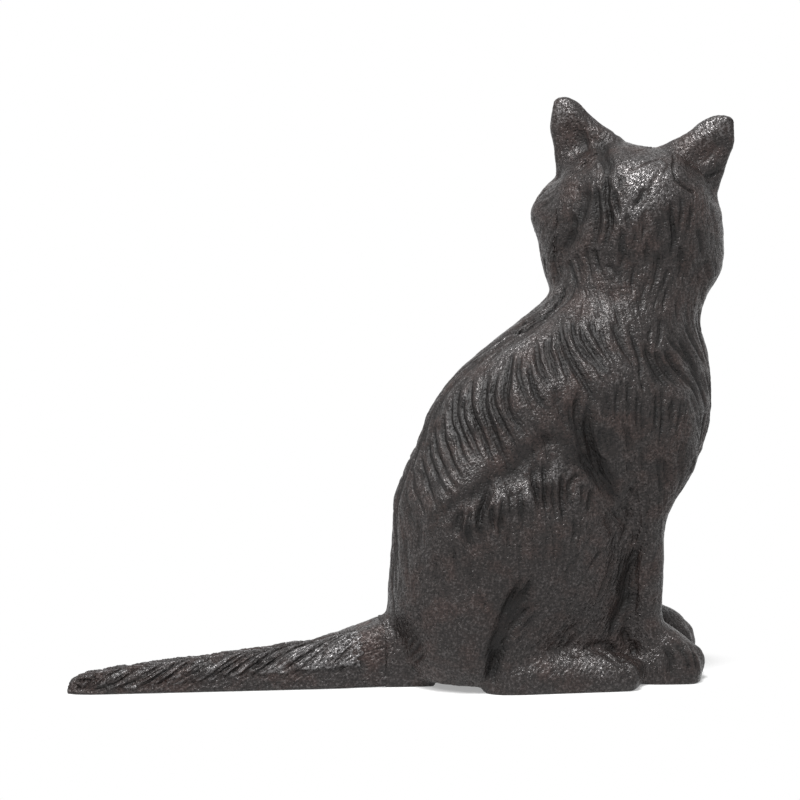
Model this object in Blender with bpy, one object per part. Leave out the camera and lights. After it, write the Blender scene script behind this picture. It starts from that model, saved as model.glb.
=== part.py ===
"""Cast iron doorstop: a sitting cat looking over its left shoulder, whose long flat tail is the door wedge.

Two hollow half castings meet along the middle of the figure. They clamp the tongue of a solid tail
casting and are drawn together by two slotted screws, which go in from the cat's left. +X is the way the
body faces, +Y is the cat's left, and Z = 0 is the floor.
"""

import math

import bmesh
import bpy
from mathutils import Matrix, Vector
from mathutils.bvhtree import BVHTree

MM = 0.001

# Overall sizes of the figure, from the tail's joint to the chest, across the haunches, and up to the ears
FIGURE_LENGTH = 139 * MM
FIGURE_WIDTH = 76 * MM
FIGURE_HEIGHT = 241 * MM

# Casting
WALL = 4.2 * MM
FIT_GAP = 0.3 * MM
RIM_LIFT = 2.4 * MM

# Tail wedge: the ramp that goes under the door, and the tongue that the halves clamp
TAIL_LENGTH = 130 * MM
TAIL_ROOT_WIDTH = 25 * MM
TAIL_ROOT_HEIGHT = 26.5 * MM
RAMP_START = 30 * MM
RAMP_TOP_WIDTH = 21 * MM
RAMP_TOP_HEIGHT = 17.5 * MM
RAMP_TIP_WIDTH = 11 * MM
RAMP_TIP_HEIGHT = 9 * MM
TAIL_NOSE = 9 * MM
TAIL_SWAY = 5 * MM
TONGUE_LENGTH = 36 * MM
TONGUE_HEIGHT = 13 * MM
TONGUE_THICKNESS = 9 * MM
TONGUE_LIFT = 5 * MM
RUMP_SCREW_SETBACK = 24 * MM

# Screws, and the bosses cast for them
SCREW_DIAMETER = 5 * MM
SCREW_HEAD_DIAMETER = 9 * MM
SCREW_HEAD_HEIGHT = 3 * MM
SLOT_WIDTH = 1.2 * MM
SLOT_DEPTH = 1.5 * MM
HEAD_SINK = 1.5 * MM
BOSS_WALL = 3.5 * MM
THREAD_LENGTH = 11 * MM
THREAD_RUNOUT = 2 * MM
SHOULDER_SCREW_PLACE = (14, 0, 132)

# Cast pegs of the right half, which enter sockets in the left
PEG_DIAMETER = 4.5 * MM
PEG_LENGTH = 3 * MM
PEG_BOSS_DIAMETER = 11 * MM
PEG_HEIGHTS = (112, 74)

# The parting face is flat up to the withers, then steps across to pass behind the ears
PARTING_STEP = 9 * MM
PARTING_STEP_START = 153
PARTING_STEP_END = 171
PARTING_STEP_FACETS = 8
EAR_POCKET = 1.6 * MM

# Stations below are written in millimetres at this size of figure
MASTER_SIZE = (139 * MM, 76 * MM, 241 * MM)
STRETCH_X = FIGURE_LENGTH / MASTER_SIZE[0]
STRETCH_Y = FIGURE_WIDTH / MASTER_SIZE[1]
STRETCH_Z = FIGURE_HEIGHT / MASTER_SIZE[2]
TAIL_JOINT = -79 * STRETCH_X * MM

# How finely the masses fuse, and how many facets the cast surfaces keep
SKIN_VOXEL = 1.6 * MM
HOLLOW_VOXEL = 2.4 * MM
SKIN_FACETS = 9000
HOLLOW_FACETS = 1300
RING_POINTS = 28
ROUND_SIDES = 24
SHARP_ANGLE = math.radians(38)

# How far cutters run past the casting
BEYOND = 80 * MM

# Trunk: height, back, front, half width, lean to the left, and how much the front is drawn in
TRUNK_STATIONS = (
    (RIM_LIFT / MM, -67, 27, 28, 0, 0.40),
    (12, -72.5, 31, 32, 0, 0.40),
    (31, -75.5, 33, 34, 0, 0.38),
    (49, -74.5, 35, 34, 0, 0.32),
    (63, -73.5, 40, 33.5, 0, 0.26),
    (75, -73.5, 48, 33.5, 0, 0.22),
    (87, -69.5, 56, 33.5, 0, 0.18),
    (100, -63.5, 61.5, 33.5, 0, 0.14),
    (112, -59, 63.5, 33, 0, 0.10),
    (125, -50, 63, 32, 0.5, 0.06),
    (137, -36, 61.5, 30, 3, 0.02),
    (149, -18, 60, 28, 7, 0),
    (157, -6.5, 62, 28, 10, 0),
    (165, -2, 64.5, 28.5, 13, 0),
    (174, -1, 66, 29, 15, 0),
    (184, 4, 60, 26, 16, 0),
)

# Head: its place, its turn to the left, its tip to the right ear, and its nod
HEAD_PLACE = (33, 18, 189.5)
HEAD_TURN = math.radians(72)
HEAD_ROLL = math.radians(6)
HEAD_NOD = math.radians(4)

# Skull, in head space where +X is the nose and +Z the crown: up, back, front, half width
SKULL_STATIONS = (
    (-38, -22, 20, 27),
    (-30, -26, 25, 33),
    (-20, -29.5, 28, 37),
    (-10, -32, 30, 39),
    (0, -33, 30, 39),
    (9, -33, 29, 37),
    (17, -31, 27, 33),
    (24, -27, 23, 29),
    (30, -18, 15, 20),
    (32, -9, 7, 10),
)

# Ears, in head space: forward, outward, up, half width, half thickness
EAR_STATIONS = (
    (-2, 21, 12, 13, 9),
    (-3, 20.5, 22, 15.5, 7.5),
    (-3.5, 20.5, 29, 17, 6),
    (-4, 27.5, 38, 12.3, 4.4),
    (-5, 31, 44, 8.5, 3.6),
    (-5, 33.5, 48, 5.5, 2.6),
    (-5, 34, 49.5, 3, 1.6),
)

# Forelegs: height, forward, half depth, half width
LEG_SPREAD = 18
LEFT_LEG_LEAD = 6.5
FORELEG_STATIONS = (
    (6, 32, 9, 9),
    (20, 30, 8.5, 8.5),
    (41, 29.5, 8, 8),
    (61, 30, 9, 9),
    (82, 32, 13, 10.5),
    (102, 30, 17, 10),
    (120, 28, 15, 6),
)

# Feet: forward, half width, height
PAW_STATIONS = (
    (24, 7, 10),
    (30, 11, 19),
    (38, 13, 24),
    (44, 13.5, 21),
    (49, 12.5, 16.5),
    (53, 8.5, 9.5),
)
HIND_FOOT_SPREAD = 26
HIND_FOOT_STATIONS = (
    (-40, 5, 9),
    (-34, 9, 14),
    (-20, 10.5, 16.5),
    (0, 11.5, 16.5),
    (13, 12.5, 16),
    (20, 11, 13),
    (24, 6.5, 8),
)
TOES_PER_FOOT = 4

# Tail root on the figure: behind the joint or in front of it, and how its width and height grow
TAIL_ROOT_STATIONS = (
    (-90, 1.0, 1.0),
    (-79, 1.0, 1.0),
    (-72, 1.1, 1.1),
    (-60, 1.2, 1.3),
    (-50, 1.0, 1.0),
)


def spot(x, y, z):
    """A point or a half size of the figure, from millimetres at the master size."""
    return Vector((x * STRETCH_X, y * STRETCH_Y, z * STRETCH_Z)) * MM


def new_object(name, mesh):
    made = bpy.data.objects.new(name, mesh)
    bpy.context.scene.collection.objects.link(made)
    return made


def object_from(form, name):
    mesh = bpy.data.meshes.new(name)
    bmesh.ops.recalc_face_normals(form, faces=form.faces)
    form.to_mesh(mesh)
    form.free()
    return new_object(name, mesh)


def as_cutter(body):
    body.hide_render = True
    body.display_type = "WIRE"
    return body


def baked(body):
    """A new mesh of the object as its modifiers leave it."""
    graph = bpy.context.evaluated_depsgraph_get()
    return bpy.data.meshes.new_from_object(body.evaluated_get(graph))


def combine(body, tool, operation):
    """A Boolean step. The fused skins are dense closed meshes: the manifold solver cuts them cleanly,
    while the exact one leaves open edges where a bore meets them at some sizes.
    """
    step = body.modifiers.new(tool.name, "BOOLEAN")
    step.operation = operation
    step.solver = "MANIFOLD"
    step.object = tool
    return body


def smoothed(stations, steps):
    """Catmull-Rom through rows of numbers, so that a few stations give a fair form."""
    rows = []
    for i in range(len(stations) - 1):
        p, q, r = stations[max(i - 1, 0)], stations[i], stations[i + 1]
        s = stations[min(i + 2, len(stations) - 1)]
        for step in range(steps):
            t = step / steps
            weights = (
                (2 * t**2 - t - t**3) / 2,
                (2 - 5 * t**2 + 3 * t**3) / 2,
                (t + 4 * t**2 - 3 * t**3) / 2,
                (t**3 - t**2) / 2,
            )
            rows.append(tuple(sum(w * v for w, v in zip(weights, column)) for column in zip(p, q, r, s)))
    rows.append(tuple(stations[-1]))
    return rows


def loft(form, rings):
    """A closed mass through rings of equal length, with a fan over each end."""
    rows = [[form.verts.new(point) for point in ring] for ring in rings]
    for lower, upper in zip(rows, rows[1:]):
        for i, start in enumerate(lower):
            j = (i + 1) % len(lower)
            form.faces.new((start, lower[j], upper[j], upper[i]))
    for row in (rows[0], rows[-1]):
        middle = form.verts.new(sum((v.co for v in row), Vector()) / len(row))
        for i, start in enumerate(row):
            form.faces.new((start, middle, row[(i + 1) % len(row)]))


def oval(centre, across, along, draw_in=0.0):
    """A ring about centre on two half axes, with its far end along the first axis drawn in."""
    ring = []
    for i in range(RING_POINTS):
        turn = 2 * math.pi * i / RING_POINTS
        breadth = math.sin(turn) * (1 - draw_in * math.cos(turn))
        ring.append(centre + across * math.cos(turn) + along * breadth)
    return ring


def swell(form, place, half_sizes):
    """An ellipsoid mass."""
    shape = place @ Matrix.Diagonal((*half_sizes, 1))
    bmesh.ops.create_uvsphere(form, u_segments=20, v_segments=14, radius=1, matrix=shape)


def rod(form, place, left, right, diameter):
    """A cylinder along Y through a place, from one Y to another."""
    turn = Matrix.Rotation(math.radians(90), 4, "X")
    middle = Matrix.Translation((place.x, (left + right) / 2, place.z))
    radius = diameter / 2
    bmesh.ops.create_cone(
        form,
        cap_ends=True,
        segments=ROUND_SIDES,
        radius1=radius,
        radius2=radius,
        depth=abs(left - right),
        matrix=middle @ turn,
    )


def block(form, low, high):
    """A box between two corners."""
    low, high = Vector(low), Vector(high)
    place = Matrix.Translation((low + high) / 2) @ Matrix.Diagonal((*(high - low), 1))
    bmesh.ops.create_cube(form, size=1, matrix=place)


def head_space():
    """The matrix from head space to the figure."""
    turn = Matrix.Rotation(HEAD_TURN, 4, "Z")
    nod = Matrix.Rotation(HEAD_NOD, 4, "Y")
    roll = Matrix.Rotation(HEAD_ROLL, 4, "X")
    return Matrix.Translation(spot(*HEAD_PLACE)) @ turn @ nod @ roll @ Matrix.Scale(STRETCH_Z, 4)


def head_swell(form, centre, half_sizes):
    swell(form, head_space() @ Matrix.Translation(Vector(centre) * MM), Vector(half_sizes) * MM)


def trunk_rings(inset=0.0):
    """Sections of the trunk, or of the hollow at a wall's thickness inside it."""
    rings = []
    for height, back, front, half_width, lean, draw_in in smoothed(TRUNK_STATIONS, 3):
        middle = spot((back + front) / 2, lean, height)
        reach = (front - back) / 2 * STRETCH_X * MM - inset
        breadth = half_width * STRETCH_Y * MM - inset
        rings.append(oval(middle, Vector((reach, 0, 0)), Vector((0, breadth, 0)), draw_in))
    return rings


def skull_rings(inset=0.0):
    """Sections of the skull, or of the hollow at a wall's thickness inside it."""
    space = head_space()
    rings = []
    for up, back, front, half_width in smoothed(SKULL_STATIONS, 2):
        drop = inset * up / abs(SKULL_STATIONS[-1][0])
        middle = Vector(((back + front) / 2 * MM, 0, up * MM - drop))
        reach = max((front - back) / 2 * MM - inset, 1 * MM)
        breadth = max(half_width * MM - inset, 1 * MM)
        ring = oval(middle, Vector((reach, 0, 0)), Vector((0, breadth, 0)))
        rings.append([space @ point for point in ring])
    return rings


def add_face(form):
    """Cheek tufts, muzzle, chin, nose, brows and eyes. The face is on the side that looks away."""
    head_swell(form, (2, 27.5, -1), (21, 14.5, 18))
    head_swell(form, (2, -27, -10), (21, 13.5, 18))
    head_swell(form, (20, 0, -11), (16, 19, 13))
    head_swell(form, (19, 0, 3), (14, 7.5, 15))
    head_swell(form, (35, 0, -4.5), (5, 5.5, 3.6))
    head_swell(form, (25, 0, -21.5), (10, 9, 6))
    for side in (-1, 1):
        head_swell(form, (28, 7.5 * side, -12.5), (11, 10, 8.5))
        head_swell(form, (24.5, 13.5 * side, 4.5), (8, 8, 7))


def ear_rings(side, margin=0.0):
    """Sections of an ear, or of the pocket that clears it by a margin."""
    space = head_space()
    rings = []
    for forward, outward, up, half_width, half_thickness in smoothed(EAR_STATIONS, 2):
        middle = Vector((forward, outward * side, up)) * MM
        across = Vector((0, half_width * MM + margin, 0))
        along = Vector((half_thickness * MM + margin, 0, 0))
        rings.append([space @ point for point in oval(middle, across, along)])
    down = space.to_3x3() @ Vector((0, 0, -margin))
    return [[point + down for point in rings[0]]] + rings if margin else rings


def ear_cups():
    """Cutters for the hollow in the front of each ear."""
    form = bmesh.new()
    for side in (-1, 1):
        lean = Matrix.Rotation(math.radians(-24 * side), 4, "X")
        place = head_space() @ Matrix.Translation(Vector((3, 27.5 * side, 35.5)) * MM) @ lean
        swell(form, place, Vector((5.5, 7.5, 11.5)) * MM)
    return as_cutter(object_from(form, "ear_cups"))


def add_foreleg(form, side, lead):
    rings = []
    for height, forward, half_depth, half_width in smoothed(FORELEG_STATIONS, 2):
        stride = lead * min(1, max(0, (110 - height) / 90))
        middle = spot(forward + stride, LEG_SPREAD * side, height)
        rings.append(oval(middle, spot(half_depth, 0, 0), spot(0, half_width, 0)))
    loft(form, rings)


def add_foot(form, stations, spread, side, lead):
    """A foot along the floor. Its sections reach below the floor, which later cuts the sole flat."""
    rings = []
    for forward, half_width, height in smoothed(stations, 2):
        middle = spot(forward + lead, spread * side, height * 0.3)
        rings.append(oval(middle, spot(0, half_width, 0), spot(0, 0, height * 0.7)))
    loft(form, rings)
    toe_forward, toe_half_width, toe_height = stations[-2]
    for toe in range(TOES_PER_FOOT):
        offset = (toe / (TOES_PER_FOOT - 1) - 0.5) * 2
        place = spot(
            toe_forward + lead + 1.5 - 3.5 * offset**2,
            spread * side + offset * (toe_half_width - 1.5),
            toe_height * 0.42,
        )
        swell(form, Matrix.Translation(place), spot(6.5, 3.6, toe_height * 0.52))


def add_haunch(form, side, inset=0.0):
    place = Matrix.Translation(spot(-24, 21 * side, 59)) @ Matrix.Rotation(math.radians(-10), 4, "Y")
    swell(form, place, spot(42, 17, 51) - Vector((inset, inset, inset)))


def add_shoulder(form, side):
    swell(form, Matrix.Translation(spot(30, 17 * side, 104)), spot(24, 13.5, 34))


def add_tail_root(form):
    rings = []
    for forward, wider, taller in TAIL_ROOT_STATIONS:
        height = TAIL_ROOT_HEIGHT * taller
        breadth = TAIL_ROOT_WIDTH / 2 * wider
        middle = Vector((forward * STRETCH_X * MM, 0, height * 0.3))
        rings.append(oval(middle, Vector((0, breadth, 0)), Vector((0, 0, height * 0.7))))
    loft(form, rings)


def fused(form, name, voxel, easing, facets, cutters=()):
    """One surface over all the masses of a form, cut flat at the floor and at the tail's joint."""
    body = object_from(form, name)
    fuse = body.modifiers.new("fuse", "REMESH")
    fuse.mode = "VOXEL"
    fuse.voxel_size = voxel
    ease = body.modifiers.new("ease", "SMOOTH")
    ease.factor = 0.5
    ease.iterations = easing
    for cutter in cutters:
        combine(body, cutter, "DIFFERENCE")
    fine = baked(body)
    bpy.data.objects.remove(body)
    body = new_object(name, fine)
    thin = body.modifiers.new("thin", "DECIMATE")
    thin.ratio = min(1, facets / (2 * len(fine.polygons)))
    mesh = baked(body)
    mesh.shade_smooth()
    bpy.data.objects.remove(body)
    return mesh


def figure_mesh():
    form = bmesh.new()
    loft(form, trunk_rings())
    loft(form, skull_rings())
    add_face(form)
    for side in (-1, 1):
        lead = LEFT_LEG_LEAD if side > 0 else 0
        loft(form, ear_rings(side))
        add_foreleg(form, side, lead)
        add_foot(form, PAW_STATIONS, LEG_SPREAD, side, lead)
        add_foot(form, HIND_FOOT_STATIONS, HIND_FOOT_SPREAD, side, 0)
        add_haunch(form, side)
        add_shoulder(form, side)
    add_tail_root(form)
    return fused(form, "figure", SKIN_VOXEL, 12, SKIN_FACETS, (ear_cups(),))


def hollow_mesh():
    """The core that leaves the wall: trunk, haunches and head, run out through the open base."""
    form = bmesh.new()
    rings = trunk_rings(WALL)
    foot = [Vector((point.x, point.y, -10 * MM)) for point in rings[0]]
    loft(form, [foot] + rings)
    loft(form, skull_rings(WALL))
    for side in (-1, 1):
        add_haunch(form, side, WALL)
    return fused(form, "hollow", HOLLOW_VOXEL, 4, HOLLOW_FACETS)


def cutter_block(name, low, high):
    form = bmesh.new()
    block(form, low, high)
    return as_cutter(object_from(form, name))


def base_cutters():
    """Everything under the floor, and everything behind the tail's joint."""
    behind = TAIL_JOINT - BEYOND
    ahead = FIGURE_LENGTH
    below = cutter_block("below_floor", (behind, -BEYOND, -BEYOND), (ahead, BEYOND, 0))
    return below, cutter_block("behind_joint", (behind, -BEYOND, -BEYOND), (TAIL_JOINT, BEYOND, BEYOND))


def parting_body(name, shift, pocket):
    """The left side of the mould: all beyond the parting face, and a pocket round the right ear."""
    start, end = PARTING_STEP_START * STRETCH_Z * MM, PARTING_STEP_END * STRETCH_Z * MM
    top = FIGURE_HEIGHT + BEYOND
    profile = [(shift, -BEYOND)]
    for i in range(PARTING_STEP_FACETS + 1):
        t = i / PARTING_STEP_FACETS
        profile.append((shift + PARTING_STEP * (3 * t**2 - 2 * t**3), start + (end - start) * t))
    profile += [(shift + PARTING_STEP, top), (2 * BEYOND, top), (2 * BEYOND, -BEYOND)]
    form = bmesh.new()
    face = form.faces.new([form.verts.new((-FIGURE_LENGTH, y, z)) for y, z in profile])
    grown = bmesh.ops.extrude_face_region(form, geom=[face])
    moved = [item for item in grown["geom"] if isinstance(item, bmesh.types.BMVert)]
    bmesh.ops.translate(form, verts=moved, vec=(2 * FIGURE_LENGTH, 0, 0))
    side = object_from(form, name)
    form = bmesh.new()
    loft(form, ear_rings(-1, pocket))
    combine(side, as_cutter(object_from(form, name + "_ear_pocket")), "UNION")
    return as_cutter(side)


def screw_lines(tree):
    """For each screw its name, its middle line, the seat of its head, and the end of its shank."""
    rump = Vector((TAIL_JOINT + RUMP_SCREW_SETBACK, 0, TONGUE_LIFT + TONGUE_HEIGHT / 2))
    lines = []
    for name, place, clamped in (
        ("shoulder_screw", spot(*SHOULDER_SCREW_PLACE), 0),
        ("rump_screw", rump, TONGUE_THICKNESS / 2),
    ):
        outside = place + Vector((0, FIGURE_WIDTH, 0))
        surface = tree.ray_cast(outside, Vector((0, -1, 0)))[0].y
        lines.append((name, place, surface - HEAD_SINK - SCREW_HEAD_HEIGHT, -clamped - THREAD_LENGTH))
    return lines


def peg_places(tree):
    """Middles of the peg bosses, which grow from the wall at the chest and at the back."""
    places = []
    for height, side in zip(PEG_HEIGHTS, (1, -1)):
        outside = spot(0, 0, height) + Vector((side * FIGURE_LENGTH, 0, 0))
        surface = tree.ray_cast(outside, Vector((-side, 0, 0)))[0]
        places.append(surface - Vector((side * (WALL + PEG_BOSS_DIAMETER * 0.35), 0, 0)))
    return places


def boss_body(lines, pegs):
    """Everything that stands in the hollow: screw bosses across it, and peg bosses at its edge."""
    form = bmesh.new()
    for _, place, _, _ in lines:
        rod(form, place, FIGURE_WIDTH / 2, -FIGURE_WIDTH / 2, SCREW_HEAD_DIAMETER + 2 * BOSS_WALL)
    for place in pegs:
        rod(form, place, 3 * PEG_LENGTH, -3 * PEG_LENGTH, PEG_BOSS_DIAMETER)
    return as_cutter(object_from(form, "bosses"))


HOLE_DIAMETER = SCREW_DIAMETER + 2 * FIT_GAP


def left_bores(lines, pegs):
    """Counterbores for the screw heads, clearance holes, and peg sockets."""
    form = bmesh.new()
    for _, place, seat, _ in lines:
        rod(form, place, BEYOND, seat - FIT_GAP, SCREW_HEAD_DIAMETER + 2 * FIT_GAP)
    bores = object_from(form, "counterbores")
    form = bmesh.new()
    for _, place, seat, _ in lines:
        rod(form, place, seat + SCREW_HEAD_HEIGHT / 2, -THREAD_LENGTH, HOLE_DIAMETER)
    combine(bores, as_cutter(object_from(form, "clearance_holes")), "UNION")
    form = bmesh.new()
    for place in pegs:
        rod(form, place, PEG_LENGTH + FIT_GAP, -PEG_LENGTH, PEG_DIAMETER + 2 * FIT_GAP)
    combine(bores, as_cutter(object_from(form, "peg_sockets")), "UNION")
    return as_cutter(bores)


def right_bores(lines):
    """The blind tapped holes."""
    form = bmesh.new()
    for _, place, _, end in lines:
        rod(form, place, THREAD_LENGTH, end - THREAD_RUNOUT, HOLE_DIAMETER)
    return as_cutter(object_from(form, "tapped_holes"))


def tongue_block(name, back, clearance):
    """The tail's tongue, or the slot that takes it."""
    front = TAIL_JOINT + TONGUE_LENGTH + clearance
    side = TONGUE_THICKNESS / 2 + clearance
    low, high = TONGUE_LIFT - clearance, TONGUE_LIFT + TONGUE_HEIGHT + clearance
    return cutter_block(name, (back, -side, low), (front, side, high))


def peg_body(pegs):
    form = bmesh.new()
    for place in pegs:
        rod(form, place, PEG_LENGTH, -PEG_LENGTH, PEG_DIAMETER)
    return as_cutter(object_from(form, "pegs"))


def tail_ring(x, sway, width, height):
    """A section of the tail: flat below, flat on its crest, and round at its upper corners."""
    corner = min(width * 0.32, height * 0.6)
    foot = min(width, height) * 0.1
    half = width / 2
    outline = [(half - foot, 0), (half, foot)]
    for i in range(5):
        turn = math.pi / 2 * i / 4
        outline.append((half - corner + corner * math.cos(turn), height - corner + corner * math.sin(turn)))
    outline += [(-y, z) for y, z in reversed(outline)]
    return [Vector((x, sway + y, z)) for y, z in outline]


def tail_wedge(rump_place):
    back = TAIL_JOINT - FIT_GAP
    tip = TAIL_JOINT - TAIL_LENGTH
    ramp_top = back - RAMP_START
    waist_width = (TAIL_ROOT_WIDTH + RAMP_TOP_WIDTH) / 2
    sections = (
        (back, 0.0, TAIL_ROOT_WIDTH, TAIL_ROOT_HEIGHT),
        (back - RAMP_START / 3, 0.0, TAIL_ROOT_WIDTH * 0.96, TAIL_ROOT_HEIGHT * 0.86),
        (back - RAMP_START * 2 / 3, 0.0, waist_width, RAMP_TOP_HEIGHT * 1.14),
        (ramp_top, 0.0, RAMP_TOP_WIDTH, RAMP_TOP_HEIGHT),
        (tip + TAIL_NOSE, TAIL_SWAY * 0.85, RAMP_TIP_WIDTH, RAMP_TIP_HEIGHT),
        (tip + TAIL_NOSE * 0.35, TAIL_SWAY * 0.97, RAMP_TIP_WIDTH * 0.8, RAMP_TIP_HEIGHT * 0.75),
        (tip, TAIL_SWAY, RAMP_TIP_WIDTH * 0.4, RAMP_TIP_HEIGHT * 0.4),
    )
    form = bmesh.new()
    loft(form, [tail_ring(*section) for section in sections])
    tail = object_from(form, "tail_wedge")
    combine(tail, tongue_block("tongue", back - TONGUE_THICKNESS / 2, 0), "UNION")
    form = bmesh.new()
    rod(form, rump_place, TONGUE_THICKNESS, -TONGUE_THICKNESS, HOLE_DIAMETER)
    combine(tail, as_cutter(object_from(form, "tongue_hole")), "DIFFERENCE")
    return tail


def screw(name, place, seat, end):
    """A slotted cheese-head screw along Y, with its head to the cat's left."""
    shank = SCREW_DIAMETER / 2
    head = SCREW_HEAD_DIAMETER / 2
    top = seat + SCREW_HEAD_HEIGHT
    chamfer = SCREW_HEAD_HEIGHT / 5
    profile = (
        (shank - chamfer, end),
        (shank, end + chamfer),
        (shank, seat),
        (head, seat),
        (head, top - chamfer),
        (head - chamfer, top),
    )
    form = bmesh.new()
    rings = []
    for reach, y in profile:
        ring = []
        for i in range(ROUND_SIDES):
            turn = 2 * math.pi * i / ROUND_SIDES
            ring.append(Vector((place.x + reach * math.cos(turn), y, place.z + reach * math.sin(turn))))
        rings.append(ring)
    loft(form, rings)
    body = object_from(form, name)
    low = (place.x - SCREW_HEAD_DIAMETER, top - SLOT_DEPTH, place.z - SLOT_WIDTH / 2)
    high = (place.x + SCREW_HEAD_DIAMETER, top + SLOT_DEPTH, place.z + SLOT_WIDTH / 2)
    combine(body, cutter_block(name + "_slot", low, high), "DIFFERENCE")
    return body


def settle(body):
    """Puts the modifiers' result into the mesh, smooth but for its real edges."""
    mesh = baked(body)
    mesh.name = body.name
    mesh.shade_smooth()
    mesh.set_sharp_from_angle(angle=SHARP_ANGLE)
    body.modifiers.clear()
    body.data = mesh


def finish(body, colour, roughness, metallic):
    material = bpy.data.materials.new(body.name)
    material.use_nodes = True
    shader = material.node_tree.nodes["Principled BSDF"]
    shader.inputs["Base Color"].default_value = (*colour, 1)
    shader.inputs["Roughness"].default_value = roughness
    shader.inputs["Metallic"].default_value = metallic
    body.data.materials.clear()
    body.data.materials.append(material)


def centre_on_origin(bodies):
    """Hangs the pieces on an empty that brings the middle of their box over the origin."""
    bpy.context.view_layer.update()
    graph = bpy.context.evaluated_depsgraph_get()
    corners = [Vector(corner) for body in bodies for corner in body.evaluated_get(graph).bound_box]
    middle = [(min(c[axis] for c in corners) + max(c[axis] for c in corners)) / 2 for axis in (0, 1)]
    base = bpy.data.objects.new("doorstop", None)
    bpy.context.scene.collection.objects.link(base)
    base.location = (-middle[0], -middle[1], 0)
    for body in bpy.data.objects:
        if body != base:
            body.parent = base


def half_casting(name, skin, mould, operation, cutters):
    """One half: the figure on its own side of the parting face, less its hollow, bores and slot."""
    half = new_object(name, skin.copy())
    combine(half, mould, operation)
    for cutter in cutters:
        combine(half, cutter, "DIFFERENCE")
    return half


for old in list(bpy.data.objects):
    bpy.data.objects.remove(old, do_unlink=True)

skin = figure_mesh()
skin_tree = BVHTree.FromPolygons([v.co for v in skin.vertices], [p.vertices for p in skin.polygons])
lines = screw_lines(skin_tree)
pegs = peg_places(skin_tree)

core = as_cutter(new_object("core", hollow_mesh()))
combine(core, boss_body(lines, pegs), "DIFFERENCE")
slot = tongue_block("tongue_slot", TAIL_JOINT - TONGUE_THICKNESS, FIT_GAP)
shared_cutters = (core, *base_cutters(), slot)

right_mould = parting_body("left_mould_and_gap", -FIT_GAP / 2, EAR_POCKET + FIT_GAP)
right_half = half_casting(
    "right_half_casting", skin, right_mould, "DIFFERENCE", (*shared_cutters, right_bores(lines))
)
combine(right_half, peg_body(pegs), "UNION")

left_mould = parting_body("left_mould", FIT_GAP / 2, EAR_POCKET)
left_half = half_casting(
    "left_half_casting", skin, left_mould, "INTERSECT", (*shared_cutters, left_bores(lines, pegs))
)

tail = tail_wedge(lines[1][1])
screws = [screw(*line) for line in lines]

IRON = (0.050, 0.043, 0.041)
STEEL = (0.20, 0.19, 0.18)
pieces = [right_half, left_half, tail, *screws]
for piece in pieces:
    settle(piece)
for casting in (right_half, left_half, tail):
    finish(casting, IRON, 0.5, 0.6)
for fastener in screws:
    finish(fastener, STEEL, 0.4, 1.0)

centre_on_origin(pieces)
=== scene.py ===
import math

import bmesh
import bpy
import numpy as np
from mathutils import Matrix, Vector, kdtree, noise
from mathutils.bvhtree import BVHTree


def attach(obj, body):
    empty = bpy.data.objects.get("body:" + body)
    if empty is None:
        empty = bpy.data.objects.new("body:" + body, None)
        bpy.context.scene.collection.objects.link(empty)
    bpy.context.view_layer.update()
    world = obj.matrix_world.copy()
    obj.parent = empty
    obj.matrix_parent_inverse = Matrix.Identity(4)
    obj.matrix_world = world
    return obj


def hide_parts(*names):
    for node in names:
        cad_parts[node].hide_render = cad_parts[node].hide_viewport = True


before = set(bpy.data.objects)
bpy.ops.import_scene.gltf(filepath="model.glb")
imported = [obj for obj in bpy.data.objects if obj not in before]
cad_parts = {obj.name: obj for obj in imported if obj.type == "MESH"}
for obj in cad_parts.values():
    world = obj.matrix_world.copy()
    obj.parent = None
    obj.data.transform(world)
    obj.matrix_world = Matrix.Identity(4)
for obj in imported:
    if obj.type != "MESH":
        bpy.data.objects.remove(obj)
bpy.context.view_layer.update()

# Right half casting
# The cat's right side with the back of its skull: a hollow grey iron casting with walls of about 4 mm.
# Its fur is carved in the wooden pattern, so each lock is a long round ridge between two grooves that
# the sand copied with its own grain. It is oiled brown-black with painted shade in its grooves, and worn a
# little brighter on the ridges, where the brighter colour also paints highlights.
MM = 0.001
HALVES = ("right_half_casting", "left_half_casting")
CASTING_FACES = 194_000
SKIN_CELL = 0.42 * MM
CARVED_DEPTH = 3.4 * MM
HOLLOW_DEPTH = 3.0 * MM
# How much of a fold's depth goes into the painted shade
FOLD_SHADE = 0.5
JOINT_GAP = 0.8 * MM
DRAW_LIMIT = 0.8 * MM
SEAM_Y = -9.0 * MM


def new_piece(name, mesh):
    piece = bpy.data.objects.new(name, mesh)
    bpy.context.scene.collection.objects.link(piece)
    return piece


def work_in(piece):
    """Make the shape that the piece's modifiers give its own."""
    graph = bpy.context.evaluated_depsgraph_get()
    mesh = bpy.data.meshes.new_from_object(piece.evaluated_get(graph))
    piece.modifiers.clear()
    old = piece.data
    piece.data = mesh
    bpy.data.meshes.remove(old)


# Directions that look at the castings, in degrees, and how a face counts as seen
LOOK_HEIGHTS = (3, 25, 50, 75)
LOOK_STEP = 15
GRAZING = 0.08
OFF_FACE = 0.2 * MM
SOLE = 0.4 * MM
CORNER_REACH = 0.45 * MM


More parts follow.
